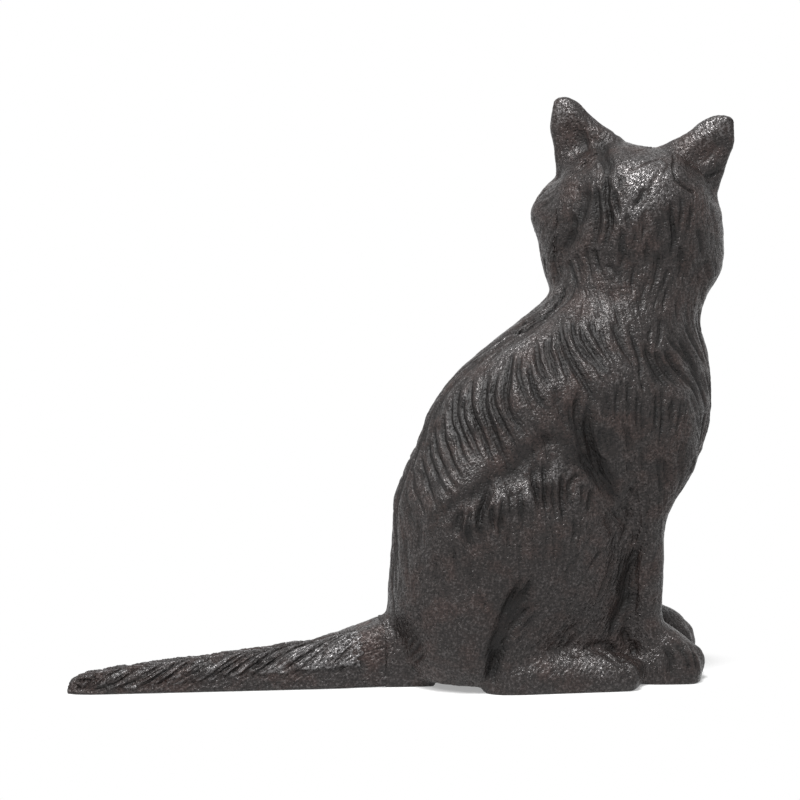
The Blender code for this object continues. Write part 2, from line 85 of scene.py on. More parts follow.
def seen_from_outside(names, others):
    """Faces of the castings that some level or high direction reaches, which leaves out their hollows."""
    points = []
    faces = []
    for name in (*names, *others):
        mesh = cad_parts[name].data
        mesh.calc_loop_triangles()
        first = len(points)
        points += [v.co.copy() for v in mesh.vertices]
        faces += [tuple(first + i for i in t.vertices) for t in mesh.loop_triangles]
        if name == names[-1]:
            casting_faces = len(faces)
    tree = BVHTree.FromPolygons(points, faces)
    looks = []
    for height in LOOK_HEIGHTS:
        for turn in range(0, 360, LOOK_STEP):
            a, e = math.radians(turn + LOOK_STEP / 2), math.radians(height)
            looks.append(Vector((math.cos(a) * math.cos(e), math.sin(a) * math.cos(e), math.sin(e))))
    outer = []
    for face in faces[:casting_faces]:
        a, b, c = (points[i] for i in face)
        out = (b - a).cross(c - a).normalized()
        middle = (a + b + c) / 3 + out * OFF_FACE
        if middle.z < SOLE or tree.ray_cast(middle, out, JOINT_GAP)[0] is not None:
            continue
        if any(look.dot(out) > GRAZING and tree.ray_cast(middle, look)[0] is None for look in looks):
            outer.append(face)
    used = sorted({i for face in outer for i in face})
    place = {old: new for new, old in enumerate(used)}
    mesh = bpy.data.meshes.new("outside")
    mesh.from_pydata([points[i] for i in used], [], [tuple(place[i] for i in face) for face in outer])
    form = bmesh.new()
    form.from_mesh(mesh)
    bmesh.ops.remove_doubles(form, verts=form.verts, dist=CORNER_REACH)
    form.to_mesh(mesh)
    form.free()
    return mesh


def through(points, step):
    """A smooth curve through the points, with a point every step."""
    points = [np.array(p, float) for p in points]
    fine = []
    for i in range(len(points) - 1):
        p, q, r = points[max(i - 1, 0)], points[i], points[i + 1]
        s = points[min(i + 2, len(points) - 1)]
        count = max(1, int(np.linalg.norm(r - q) / step))
        for k in range(count):
            t = k / count
            bend = (2 * p - 5 * q + 4 * r - s) * t**2 + (3 * q - p - 3 * r + s) * t**3
            fine.append((2 * q + (r - p) * t + bend) / 2)
    return fine + [points[-1]]


def drawn(text):
    """Points of a line, written as groups of millimetres."""
    return [tuple(float(n) for n in group.split()) for group in text.split(",")]


def fade(value, low, high):
    """From 0 at low to 1 at high, smoothly."""
    t = min(1.0, max(0.0, (value - low) / (high - low)))
    return t * t * (3 - 2 * t)


LIE_SPOTS = 8
LIE_EASING = 4e-6
SHOULDER_FALL = 0.55


class Cuts:
    """Grooves laid on a skin, kept as spots with a depth, a width and a direction."""

    def __init__(self, near):
        self.near = near
        self.spots, self.depths, self.widths, self.ways = [], [], [], []

    def add(self, line, depth, width, head=0.2, tail=0.4):
        """One groove along a line on the skin, which runs out at both ends."""
        last = len(line) - 1
        if last < 2:
            return
        for i, spot in enumerate(line):
            ends = min(1, i / last / head) * min(1, (1 - i / last) / tail)
            way = line[min(i + 1, last)] - line[max(i - 1, 0)]
            self.spots.append(spot)
            self.depths.append(depth * ends**0.7)
            self.widths.append(width * (0.6 + 0.4 * ends))
            self.ways.append(way.normalized())

    def ready(self):
        self.finder = kdtree.KDTree(len(self.spots))
        for i, spot in enumerate(self.spots):
            self.finder.insert(spot, i)
        self.finder.balance()

    def depth_at(self, spot, shoulder=0.0):
        """Depth here of the groove that cuts deepest: a narrow valley with an eased shoulder."""
        deepest = 0.0
        for _, i, far in self.finder.find_n(spot, self.near):
            ratio = far / self.widths[i]
            cut = (1 - shoulder) * math.exp(-ratio * ratio) + shoulder * math.exp(-ratio * SHOULDER_FALL)
            cut *= self.depths[i]
            if abs(cut) > abs(deepest):
                deepest = cut
        return deepest

    def way_at(self, spot):
        """The lie of the fur: the mean direction of the grooves near this spot."""
        way = Vector()
        for _, i, far in self.finder.find_n(spot, LIE_SPOTS):
            way += self.ways[i] / (far * far + LIE_EASING)
        return way


# The hollow between haunch and foreleg, in mm: where it fades in and out along, up and outwards, and how
# far from the seam its floor lies
RECESS_BACK, RECESS_FRONT = (63, 70), (96, 99)
RECESS_FOOT, RECESS_TOP = (8, 13), (66, 78)
RECESS_SIDE = (8, 13)
RECESS_FLOOR, FLOOR_SLOPE, FLOOR_X = 24.5, 0.33, 90
RECESS_FILLED = 0.85


def bridged(place):
    """The place moved outwards where the carver left iron between the haunch and the foreleg."""
    side = 1 if place.y < SEAM_Y else -1
    x, out, z = place.x / MM, side * (SEAM_Y - place.y) / MM, place.z / MM
    floor = RECESS_FLOOR + FLOOR_SLOPE * (FLOOR_X - x)
    reach = fade(x, *RECESS_BACK) * (1 - fade(x, *RECESS_FRONT))
    reach = reach * fade(z, *RECESS_FOOT) * (1 - fade(z, *RECESS_TOP)) * fade(out, *RECESS_SIDE)
    if out >= floor or reach == 0:
        return place
    moved = Vector(place)
    moved.y = SEAM_Y - side * (out + RECESS_FILLED * (floor - out) * reach) * MM
    return moved


COMB_STEP = 0.6
LEAST_HAIR = 0.04
LONGEST_JUMP = 4 * MM
ENDS_EASE = 0.2
FOLD_WIDTH = 4.5


class Carving:
    """The fair outer skin of castings, with the forms, locks and hairs that are carved into it."""

    def __init__(self, names, others, seed):
        piece = new_piece("outside", seen_from_outside(names, others))
        rounding = piece.modifiers.new("rounding", "SUBSURF")
        rounding.levels = 2
        easing = piece.modifiers.new("easing", "SMOOTH")
        easing.iterations = 6
        work_in(piece)
        mesh = piece.data
        faces = [p.vertices[:] for p in mesh.polygons]
        self.bare = BVHTree.FromPolygons([v.co for v in mesh.vertices], faces)
        for v in mesh.vertices:
            v.co = bridged(v.co)
        easing = piece.modifiers.new("easing", "SMOOTH")
        easing.iterations = 4
        work_in(piece)
        mesh = piece.data
        self.centres = [p.center.copy() for p in mesh.polygons]
        self.skin = BVHTree.FromPolygons([v.co for v in mesh.vertices], [p.vertices for p in mesh.polygons])
        bpy.data.objects.remove(piece)
        bpy.data.meshes.remove(mesh)
        self.chance = np.random.default_rng(seed)
        self.locks, self.tufts, self.hairs = Cuts(6), Cuts(5), Cuts(6)
        self.swells = []
        self.lines = []
        self.rubbed_and_highlit = []

    def lay(self, points, caster, step=0.5):
        """The curve through the points, laid on the skin by casting each of them at it."""
        line = []
        for point in through(points, step):
            start, look = caster(*point)
            met = self.skin.ray_cast(start, look)[0]
            if met is None or (line and (met - line[-1]).length > LONGEST_JUMP):
                continue
            line.append(met)
        return line

    def cell(self, spot, size):
        return tuple(math.floor(n / size) for n in spot)

    def claim(self, taken, spot, size, owner):
        x, y, z = self.cell(spot, size)
        for i in (x - 1, x, x + 1):
            for j in (y - 1, y, y + 1):
                for k in (z - 1, z, z + 1):
                    taken.setdefault((i, j, k), owner)

    def comb(self, cuts, gap, lengths, depths, widths, strength, tries):
        """Grooves that follow the lie of the locks, and keep a gap from the locks and from each other."""
        chance = self.chance
        size = gap * 0.6 * MM
        taken = {}
        for spot in self.locks.spots[::2]:
            taken.setdefault(self.cell(spot, size), -1)
        for owner, pick in enumerate(chance.integers(0, len(self.centres), tries)):
            spot = self.centres[int(pick)]
            amount = strength(spot)
            if self.cell(spot, size) in taken or amount < LEAST_HAIR:
                continue
            steps = int(chance.uniform(*lengths) / COMB_STEP)
            drift = chance.normal(0, 0.06)
            line = [spot]
            for _ in range(steps):
                met, out, _, _ = self.skin.find_nearest(line[-1])
                way = self.locks.way_at(met)
                way -= out * way.dot(out)
                if way.length < 1e-9:
                    break
                way.normalize()
                way += out.cross(way) * drift
                step = self.skin.find_nearest(met + way.normalized() * COMB_STEP * MM)[0]
                if taken.get(self.cell(step, size), owner) != owner:
                    break
                line.append(step)
            if len(line) * COMB_STEP < 0.4 * lengths[0]:
                continue
            for spot in line[::2]:
                self.claim(taken, spot, size, owner)
            depth = chance.uniform(*depths) * amount * MM
            cuts.add(line, depth, chance.uniform(*widths) * MM)

    def wear_and_highlight_at(self, spots):
        """How far the iron is polished bright at each spot, from 0 to 1: partly by hands and doors, partly
        as a painted highlight.
        """
        wear_and_highlight = np.zeros(len(spots))
        for centre, radius, amount in self.rubbed_and_highlit:
            far = ((spots - np.array(centre) * MM) ** 2).sum(1)
            wear_and_highlight += amount * np.exp(-far / (radius * MM) ** 2)
        return np.clip(wear_and_highlight, 0, 1)

    def forms_at(self, spots):
        """Height of the broad forms over the fair skin at each spot, and how deep in a fold it lies."""
        height = np.zeros(len(spots))
        fold = np.zeros(len(spots))
        for centre, radius, rise in self.swells:
            far = ((spots - np.array(centre) * MM) ** 2).sum(1)
            height += rise * np.exp(-far / (radius * MM) ** 2)
        for line, width, rise in self.lines:
            line = np.array(line)
            near = np.full(len(spots), 1.0)
            low, high = line.min(0) - 3 * width * MM, line.max(0) + 3 * width * MM
            inside = ((spots > low) & (spots < high)).all(1)
            for i, point in enumerate(line):
                t = i / (len(line) - 1)
                ends = min(1, t / ENDS_EASE, (1 - t) / ENDS_EASE)
                far = ((spots[inside] - point) ** 2).sum(1)
                near[inside] = np.minimum(near[inside], np.sqrt(far) + (1 - ends) * 0.6 * width * MM)
            share = np.exp(-((near / (width * MM)) ** 2))
            height += rise * share
            if rise < 0 and width < FOLD_WIDTH:
                fold -= rise * share
        return height * MM, fold


# Locks of the flank and shoulder, from the spine down: depth, width and line, as x and z in mm
FLANK_LOCKS = (
    (1.15, 1.3, "31 131, 28.5 124.5, 27.5 120, 28.5 113.5, 30.5 107.5, 33 101.5, 35 97, 37 92"),
    (1.05, 1.2, "42 139, 39 132.5, 36.5 125.5, 36 121, 37 116, 40 111, 43.5 106"),
    (0.95, 1.1, "34.5 131.5, 32 126, 31 122.5, 31.5 118, 33.5 113, 36 108, 38.5 103.5, 40.5 99"),
    (0.95, 1.1, "26 129, 23.5 124.5, 22.5 120, 23 115.5, 24.5 111, 26 106.5, "
                "27.5 102.5, 29 97.5, 30.5 93.5"),
    (1.05, 1.2, "21 125.5, 18.5 121, 17 116, 17.5 110.5, 19 106, 21 101.5, 23 97"),
    (0.8, 1, "22 123, 20 118.5, 19.5 114, 20.5 109.5, 22.5 105, 24 100.5, 26 96"),
    (0.9, 1.1, "17 121, 15.5 115.5, 15 110.5, 16.5 106, 17.5 101.5, 18.5 98, 20.5 93.5"),
    (0.9, 1.1, "13.5 114, 12 108.5, 12 104, 13 100, 14 96, 15.5 92.5, 17.5 88"),
    (0.8, 1, "10.5 111, 9 105.5, 9 101, 10 96.5, 11 93, 12.5 89, 15 84.5"),
    (0.8, 1.1, "7.5 103.5, 6.5 98, 7 94.5, 8 90.5, 9 86.5, 11.5 82"),
    (0.75, 1, "4.5 97.5, 4 93.5, 4.5 89, 5 85, 6 81.5, 7 77"),
    (0.55, 0.9, "1 91, 0.5 85, 1 80.5, 2.5 76.5, 3.5 72.5"),
    (0.45, 0.9, "-2 83.5, -2.5 78.5, -1.5 73, 0 68"),
    (0.7, 1, "45 139, 42.5 133.5, 42.5 128, 43.5 123.5, 45 119.5, 47 116"),
    (0.8, 1, "47 136.5, 46.5 131, 47 125.5, 49 121, 52 117, 54 113.5"),
    (0.9, 1.1, "51.5 142.5, 50.5 138, 50.5 133.5, 52 130, 54 125.5"),
    (0.7, 0.9, "55.5 144.5, 54 139.5, 54.5 135, 55 131.5"),
    (0.85, 1, "57.5 146, 55.5 141, 56 136, 56.5 132, 57.5 127.5"),
    (0.7, 0.9, "59.5 145, 59 139.5, 60 135, 61 130.5, 62.5 126"),
    (1.1, 1.3, "63 151, 61.5 145.5, 62 141, 63.5 136.5, 66 131.5, 68.5 127, 71 122, 73.5 119.5"),
    (0.9, 1.1, "67.5 152.5, 66 147, 67 142.5, 69.5 138, 72.5 134.5, 74.5 130.5, 76 126.5"),
    (1.05, 1.2, "69.5 149.5, 69.5 145, 71.5 141, 74 136.5, 76.5 132.5, 78 128.5"),
    (0.75, 1, "74.5 152.5, 74 147.5, 76 142.5, 78 138, 80 134"),
    (0.65, 0.9, "77.5 149, 77.5 143, 80 138.5, 82 133.5"),
    (0.75, 1, "82.5 151, 83.5 146, 85.5 141, 88 136.5, 89.5 132.5"),
    (0.65, 0.9, "88.5 150, 90 145, 91.5 140, 92.5 134.5, 92 128, 92.5 122"),
    (1, 1.2, "95 142, 97 136.5, 99 132, 102 127, 104.5 123"),
    (1, 1.2, "99.5 139, 102 133.5, 105.5 129, 109 124.5"),
    (0.9, 1.1, "104 139.5, 107.5 133.5, 111.5 128.5, 115 123.5"),
    (0.6, 0.9, "103 152.5, 103 146.5, 101 141.5, 99 139"),
    (0.9, 1.1, "112 143.5, 114.5 138.5, 117 134, 119.5 129, 120.5 124"),
    (0.5, 0.9, "92.5 120, 92 114.5, 92.5 108.5, 91.5 102.5"),
    (0.65, 1, "98.5 122.5, 98.5 116.5, 98 110, 97.5 104.5"),
    (0.6, 1, "102 124.5, 101 118, 101 111.5, 100 105, 99 99"),
    (0.5, 0.9, "105.5 121.5, 106 115.5, 105 109.5, 103.5 104"),
    (0.5, 0.9, "110.5 120, 109.5 114.5, 108 108.5, 106 103"),
    (0.5, 0.9, "86.5 128.5, 86 122, 86.5 116, 85.5 110.5"),
    (0.5, 0.9, "81 127, 81 121.5, 80.5 115.5, 81.5 110"),
    (0.45, 0.9, "76 124, 77 118.5, 77 112.5"),
    (0.95, 1.3, "65.5 124.5, 64 118.5, 64 113, 65 106.5, 67 100.5, 69.5 94.5"),
    (1.3, 1.8, "69 119.5, 68.5 113.5, 69 107, 71 101, 73 95, 76 89, 79.5 83.5, 82.5 79.5"),
    (0.55, 0.9, "61.5 121, 61 115, 62.5 109, 64 103"),
    (0.45, 0.9, "57.5 124.5, 57 119, 58.5 113, 60 107.5"),
    (0.5, 0.9, "73.5 109.5, 74 103.5, 75.5 98"),
    (0.45, 0.9, "79 108.5, 79.5 102.5, 81.5 96.5"),
    (0.45, 0.9, "84.5 110, 86 104, 87 97.5"),
    (0.9, 1.7, "66 100, 69 95, 72.5 90.5, 76 84.5"),
    (0.5, 0.9, "99 97, 100 90.5, 101 84.5, 101.5 78"),
    (0.5, 0.9, "102 95, 103 89, 104 83"),
)
HAUNCH_LOCKS = (
    (1.1, 1.5, "16.5 76.5, 15 72, 14.5 67"),
    (0.95, 1.1, "19.5 77.5, 19 73, 18.5 67, 19.5 62"),
    (1.3, 1.3, "26.5 85.5, 26 81.5, 24 77, 23 72, 23.5 66.5"),
    (0.85, 1, "28.5 79.5, 28 74.5, 29 69"),
    (0.85, 1, "32.5 82, 32 76.5, 31.5 71, 31.5 65"),
    (0.55, 0.9, "36 85.5, 36 79.5, 35.5 73.5"),
    (0.75, 0.9, "40.5 86, 40 80.5, 40.5 74, 41 68.5"),
    (0.95, 1, "45.5 94, 46 88, 47 82, 48 76.5"),
    (0.95, 1, "50 96.5, 50 90, 50 84.5, 50.5 78.5, 51 73"),
    (0.65, 0.9, "53.5 89, 53.5 83.5, 54.5 77.5, 54.5 72"),
    (0.95, 1, "57.5 91, 57.5 84.5, 57.5 78, 58 72"),
    (0.8, 1, "61.5 78, 60.5 83, 61.5 87.5, 64 90, 68 89.5"),
    (0.55, 0.9, "66.5 86.5, 66.5 81, 65 76.5"),
    (0.65, 0.9, "70.5 84, 70 78, 68 72.5"),
    (0.4, 0.9, "12 85.5, 12 80, 11.5 75"),
    (0.4, 0.9, "8.5 81, 8.5 75.5, 8 70"),
    (0.35, 0.8, "5 76, 5 70, 4.5 64.5"),
    (0.35, 0.8, "1.5 71.5, 1.5 65, 1 58.5"),
    (0.6, 1, "62.5 72.5, 63 67.5, 61 62"),
    (0.35, 0.8, "50 69, 50.5 62.5, 50.5 56"),
    (0.35, 0.8, "39.5 64.5, 39.5 58, 39 51"),
    (0.35, 0.8, "27 63.5, 27.5 57.5, 27 51"),
    (0.35, 0.8, "33.5 62, 33.5 55.5"),
    (0.55, 0.7, "75.5 58.5, 72.5 55.5, 70 52, 68.5 50.5"),
    (0.4, 0.8, "64.5 59, 62.5 54.5, 61 50"),
    (0.35, 0.8, "10.5 47, 10 42.5, 9.5 39.5"),
    (0.45, 0.8, "23.5 43, 24.5 40, 26.5 37.5, 28 35"),
    (0.6, 0.7, "1 21.5, 0 18, -1.5 14.5"),
    (0.5, 0.7, "2.5 16.5, 1 13.5, -0.5 11"),
    (0.45, 0.7, "0 23, -1.5 21, -2 18.5"),
    (0.6, 0.9, "38.5 45.5, 36 40.5, 34 35.5, 32 31.5"),
    (0.6, 0.9, "41.5 44.5, 38.5 39.5, 36.5 35"),
    (0.55, 0.8, "44 37.5, 41 32.5, 37.5 28.5, 35 24.5"),
    (0.45, 0.8, "47.5 34.5, 44.5 30.5, 40.5 26"),
    (0.6, 1, "34.5 23.5, 32.5 19.5, 30.5 13.5, 29 8"),
    (0.6, 0.9, "92 52.5, 90 47, 89 41.5, 88 35"),
    (0.6, 0.9, "90 39, 87.5 32.5, 84 26.5, 81 22"),
    (0.45, 0.8, "80.5 53.5, 78.5 47.5, 76 41.5, 73.5 36.5"),
    (0.45, 0.8, "86 52, 84.5 46, 81.5 41.5"),
    (0.35, 0.8, "56.5 64.5, 56 58.5, 54.5 52"),
    (0.35, 0.8, "61.5 56, 59.5 51, 57.5 46"),
    (0.35, 0.8, "19.5 57, 19.5 51, 19 44.5"),
    (0.35, 0.8, "13.5 63, 13.5 57, 13.5 50.5"),
    (0.35, 0.8, "6.5 56.5, 6.5 50, 6.5 44"),
)
FOLDS = (
    (2.8, 2.6, "40 48, 37.5 43, 35.5 38, 33.5 33.5, 31.5 28, 30 21.5, 29 15, 28 8"),
    (1.5, 2, "44 47, 42.5 42, 40 37, 37.5 33, 35 28.5"),
    (1.3, 1.8, "48 39.5, 44 36, 40 32.5, 37 28, 34 22.5"),
    (0.9, 1, "45 32, 41.5 28.5, 38 25, 34 21.5"),
    (0.7, 1, "48 27.5, 44 25.5, 39.5 22, 35.5 19"),
    (1.8, 2, "35.5 19, 32.5 16.5, 31 11.5, 30 5.5"),
    (2.4, 3.2, "93.5 57.5, 90.5 52, 89 46.5, 88 41, 87.5 35.5, 85 31, 83 26, 82 22"),
    (1.4, 1.8, "93 40.5, 91.5 35, 90 30, 89 25, 88 20.5"),
    (0.7, 1, "89 74.5, 88.5 69, 86.5 64, 84 59.5"),
    (0.7, 1, "92.5 69.5, 92 64.5, 91 59"),
    (1.5, 1.6, "65 15, 69 17, 74 18, 78.5 18, 83.5 14.5, 83.5 14, 84.5 11, 85.5 6.5"),
    (1, 1.3, "74 16, 77 15, 79.5 13, 82 10, 83.5 6"),
    (1.8, 2.2, "87 22, 89.5 17.5, 91.5 14, 92.5 10.5, 92.5 4"),
    (0.7, 1.2, "59 21.5, 62 25.5, 66.5 28"),
    (1, 1.6, "78 72, 79 69, 80.5 64.5"),
)
TOE_LINES = (
    (1.2, 1.3, "102.5 16, 104.5 14.5, 106 11, 105.5 6"),
    (1.1, 1.2, "106.5 18.5, 110 15.5, 112.5 12, 113.5 7"),
    (1.1, 1.1, "114 17, 116 15, 117 11.5, 117.5 7"),
)
NAPE_LOCKS = (
    (1.3, 1.4, "79 206, 78.5 199.5, 79 193.5, 78.5 187.5, 77.5 181"),
    (1.2, 1.3, "83 212.5, 82.5 206, 82 200.5, 83 195.5, 83.5 190, 82.5 184, 81.5 180"),
    (0.85, 1, "85 204.5, 85.5 199.5, 87 194"),
    (0.55, 0.9, "88 210.5, 88 205.5, 89.5 200.5"),
    (0.5, 0.9, "89.5 194.5, 90.5 191, 91 187"),
    (0.55, 0.9, "97.5 205.5, 95 201, 92 197.5"),
    (0.85, 1, "108 200, 108 194.5, 109 189, 109.5 184, 108.5 179, 108 174"),
    (0.65, 1, "112.5 202.5, 113 197, 112 191.5, 111 186"),
    (0.6, 0.9, "117.5 198.5, 117 193, 116.5 187"),
    (0.5, 0.9, "121 188.5, 122 182.5, 123 176"),
    (0.45, 0.9, "102 194, 102.5 188, 102.5 182"),
    (0.6, 1, "88 190, 88.5 184, 88.5 177.5, 87.5 171.5, 87.5 165.5"),
    (0.5, 0.9, "78 181.5, 79 176, 80 171.5, 82 166.5"),
    (0.55, 0.9, "93.5 174.5, 92 168.5, 91.5 162"),
    (0.55, 0.9, "102.5 180, 103 174, 101.5 167.5, 99 161.5"),
    (0.45, 0.9, "74.5 179.5, 76 173.5, 76.5 167.5"),
    (0.45, 0.9, "71 177.5, 72.5 171, 73 165"),
    (0.45, 0.9, "83 174, 85.5 170, 87 166"),
    (0.5, 0.9, "107.5 172.5, 106 167, 104 161"),
    (0.4, 0.9, "98 184.5, 98 178, 97.5 172"),
    (0.45, 0.9, "114 180, 113.5 173.5, 112 167.5"),
    (0.6, 1.2, "68.5 174, 70.5 169, 71.5 163"),
    (1, 2, "75 206, 74 199.5, 72.5 193, 71 187"),
    (0.9, 1.8, "70 193.5, 70 187.5, 68 182.5, 66.5 178"),
    (0.45, 0.9, "96 195, 96.5 189.5, 96 184.5"),
)
EAR_BACK_LINES = (
    (1.2, 1.8, "87 223, 84 218.5, 84 214, 82.5 209.5"),
    (0.4, 1, "71.5 210.5, 74 212.5, 76.5 215.5, 78.5 218.5"),
    (0.5, 1.2, "78.5 228, 80 224, 80.5 220"),
    (0.6, 1, "127 209.5, 131 209.5, 133.5 212"),
)
# Casting flash and cracks along the seam, and the ridges and dents of the ears
SEAM_LINES = (
    (3, 0.9, "67 163.5, 65.5 159.5, 62.5 156, 58 152.5, 54.5 150.5, 50 147.5, 46.5 146, 43 144.5"),
    (2.2, 0.8, "54 151, 49.5 148.5, 46 146.5, 43.5 144"),
    (1.2, 0.6, "114 220, 113 216.5, 111 214, 111.5 209, 116 205, 119 203, 119 198.5"),
    (0.8, 0.5, "135 212, 131 209, 127 208.5"),
    (0.4, 0.8, "69 208.5, 71 210.5, 75 213.5, 78 216"),
    (-1.7, 1.4, "65.5 162, 63.5 158.5, 60.5 155.5, 57 153"),
    (-0.8, 2.4, "119 219, 123 222.5, 128 226, 133.5 228.5"),
    (0.7, 2.6, "119.5 214, 126 217, 132 220.5, 135.5 223"),
    (-0.6, 2.4, "72.5 235.5, 77 234, 82 229, 86 224.5"),
    (0.8, 2.6, "72.5 229, 75.5 226.5, 78.5 222, 79.5 218.5"),
    (-0.9, 1.6, "79 217, 80.5 216.5, 82 214"),
    (0.5, 0.6, "92 212.5, 96.5 214.5, 102.5 216.5, 107 217.5"),
    (0.5, 0.6, "107 217.5, 109 215, 106 212"),
)

# Broad forms of the head, as a place on the skin in mm, a radius, and how far it stands out there
HEAD_SWELLS = (
    ((61, 16, 193), 8, 2.2), ((69, 14, 209), 5, -1.4), ((67, 17, 228), 6, 0.8), ((83, 10, 236), 6, -1.0),
    ((93, 8, 225), 7, 1.4), ((126, -5, 234), 6, 1.0), ((139, -8, 230), 5, -1.2),
    ((131, -9, 203), 5, -1.4), ((128, -14, 168), 9, 2.6), ((127, -13, 150), 6, -1.1),
    ((85, -21, 182), 13, 2.2), ((99, -14, 217), 10, -0.6), ((75, 10, 220), 6, -1.4),
    ((77, -1, 216), 5, -1.2),
)
# Forms of the right side, which the left side mirrors
SIDE_SWELLS = (
    ((60, -26, 143), 9, 0.9), ((76, -37, 131), 9, 0.8), ((42, -27, 132), 8, 0.6),
    ((91, -39, 112), 15, 1.2), ((48, -47, 60), 15, 0.9), ((19, -43, 72), 4.2, 1.6),
    ((31, -44, 79), 4.4, 1.8), ((42, -44, 81), 4.2, 1.6), ((52, -43, 87), 4.2, 1.5),
    ((63, -42, 80), 3.8, 1.4), ((116, -34, 93), 5, 0.8), ((106, -33, 68), 9, -2.0),
    ((104, -33, 43), 7, 0.6), ((119, -41, 10), 7, -1.2), ((-13, -12, 27), 6, 1.0),
)
LEFT_PAW_SWELL = ((122, 6, 18), 9, 2.8)
# Beads of flash that stand out of the seam along the nape
NAPE_FLASH = (
    ((51, -5, 150), 1.4, 1.0), ((44, -6, 145), 1.5, 0.9), ((61, -5, 156), 1.3, 0.8),
    ((40, -6, 143), 1.1, 0.7),
)
# Where hands have rubbed the oil off, which also paints highlights there: place, radius and amount
RUBBED_AND_HIGHLIT_HEAD = (
    ((96, -20, 209), 13, 1), ((89, -21, 197), 9, 0.8), ((105, -16, 215), 8, 0.8),
    ((75, -14, 190), 4, 0.9), ((126, -4, 228), 6, 1), ((133, -6, 233), 6, 1), ((71, 14, 236), 6, 0.9),
)
RUBBED_AND_HIGHLIT_SIDES = (
    ((23, -27, 120), 10, 1), ((16, -28, 108), 10, 1), ((10, -30, 92), 10, 1), ((38, -16, 139), 10, 0.6),
    ((49, -20, 144), 10, 0.6), ((64, -14, 155), 8, 0.3), ((70, -30, 144), 8, 0.6),
    ((77, -39, 131), 9, 0.5), ((21, -43, 75), 5, 1), ((32, -44, 83), 6, 1), ((42, -44, 86), 7, 1),
    ((52, -43, 93), 8, 0.9), ((61, -43, 84), 6, 0.8), ((65, -41, 15), 6, 0.6), ((74, -45, 11), 6, 0.6),
    ((121, -25, 126), 14, 0.6),
)
# Long valleys and ridges: how far they stand out, half width, and line as x, y and z
HEAD_LINES = (
    (-1.5, 6.0, "76 -4 212, 72 -9 200, 69 -8 188, 67 -4 176, 66 0 166"),
    (-0.35, 4.0, "65 -1 162, 72 -15 161, 83 -23 160, 97 -26 159, 113 -23 159"),
)
SIDE_LINES = (
    (-1.5, 4.0, "10 -39 76, 17 -41 82, 23 -42 84, 29 -42 90, 37 -43 92, "
                "44 -42 99, 51 -42 104, 59 -42 103, 74 -41 89"),
    (0.6, 3.6, "12 -41 64, 18 -43 70, 24 -44 72, 29 -44 76, 37 -45 78, "
               "45 -43 85, 53 -43 88, 60 -43 86, 67 -41 78"),
    (-1.3, 3.0, "44 -46 47, 38 -45 34, 34 -44 24, 30 -43 13, 28 -41 7"),
    (-1.2, 3.6, "67 -42 109, 70 -42 100, 75 -41 89, 83 -37 79"),
    (0.6, 6.0, "96 -36 69, 97 -35 52, 97 -35 36"),
    (0.9, 6.0, "62 -13 155, 66 -22 150, 70 -30 143, 76 -38 132, 80 -40 126"),
)


def across(point):
    """The place on the left side that answers to one on the right."""
    return (point[0], 2 * SEAM_Y / MM - point[1], point[2])


FAR_OUT = 200


def from_right(x, z):
    return Vector((x * MM, -FAR_OUT * MM, z * MM)), Vector((0, 1, 0))


def from_left(x, z):
    return Vector((x * MM, FAR_OUT * MM, z * MM)), Vector((0, -1, 0))


body = Carving(HALVES, ("tail_wedge",), seed=7)
body.swells = [*HEAD_SWELLS, LEFT_PAW_SWELL, *NAPE_FLASH]
for centre, radius, rise in SIDE_SWELLS:
    body.swells += [(centre, radius, rise), (across(centre), radius, rise)]
body.rubbed_and_highlit = [*RUBBED_AND_HIGHLIT_HEAD, *RUBBED_AND_HIGHLIT_SIDES, *((across(centre), *rest) for centre, *rest in RUBBED_AND_HIGHLIT_SIDES)]
for rise, width, line in HEAD_LINES:
    body.lines.append(([np.array(p) * MM for p in through(drawn(line), 2)], width, rise))
for rise, width, line in SIDE_LINES:
    line = through(drawn(line), 2)
    body.lines.append(([np.array(p) * MM for p in line], width, rise))
    body.lines.append(([np.array(across(p)) * MM for p in line], width, rise))

FOLD_DEPTH = 0.7
LOCK_DEPTH, LOCK_WIDTH = 1.9, 1.2
HAUNCH_DEPTH, HAUNCH_WIDTH = 1.6, 1.1
LEFT_WIDTH = 1.1
CRACK_ENDS = 0.1
for depth, width, line in FLANK_LOCKS + NAPE_LOCKS + EAR_BACK_LINES:
    body.locks.add(body.lay(drawn(line), from_right), LOCK_DEPTH * depth * MM, LOCK_WIDTH * width * MM)
for depth, width, line in HAUNCH_LOCKS:
    body.locks.add(body.lay(drawn(line), from_right), HAUNCH_DEPTH * depth * MM, HAUNCH_WIDTH * width * MM)
for depth, width, line in SEAM_LINES:
    if width < 1:
        crack = body.lay(drawn(line), from_right)
        body.locks.add(crack, depth * MM, width * MM, head=CRACK_ENDS, tail=CRACK_ENDS)
    else:
        body.lines.append((body.lay(drawn(line), from_right, 1.0), width, -depth))
for depth, width, line in FOLDS:
    body.lines.append((body.lay(drawn(line), from_right, 1.5), width, -FOLD_DEPTH * depth))
for depth, width, line in TOE_LINES:
    body.locks.add(body.lay(drawn(line), from_right), depth * MM, width * MM, head=0.3, tail=0.05)

# The left side carries the same locks below the neck, each a little out of step with its twin
for depth, width, line in FLANK_LOCKS + HAUNCH_LOCKS:
    shift = body.chance.normal(0, 1.0, 2)
    points = [(x + shift[0], z + shift[1]) for x, z in drawn(line)]
    body.locks.add(body.lay(points, from_left), LOCK_DEPTH * depth * MM, LEFT_WIDTH * width * MM)
for depth, width, line in FOLDS:
    body.lines.append((body.lay(drawn(line), from_left, 1.5), width, -FOLD_DEPTH * depth))

# The face, in the head's own directions: forwards to the nose, across to the left ear, and up
HEAD_PLACE = Vector((100.7, 9.0, 189.5)) * MM
HEAD = Matrix.Translation(HEAD_PLACE)
HEAD_TURNS = ((72, "Z"), (4, "Y"), (6, "X"))
for angle, axis in HEAD_TURNS:
    HEAD = HEAD @ Matrix.Rotation(math.radians(angle), 4, axis)
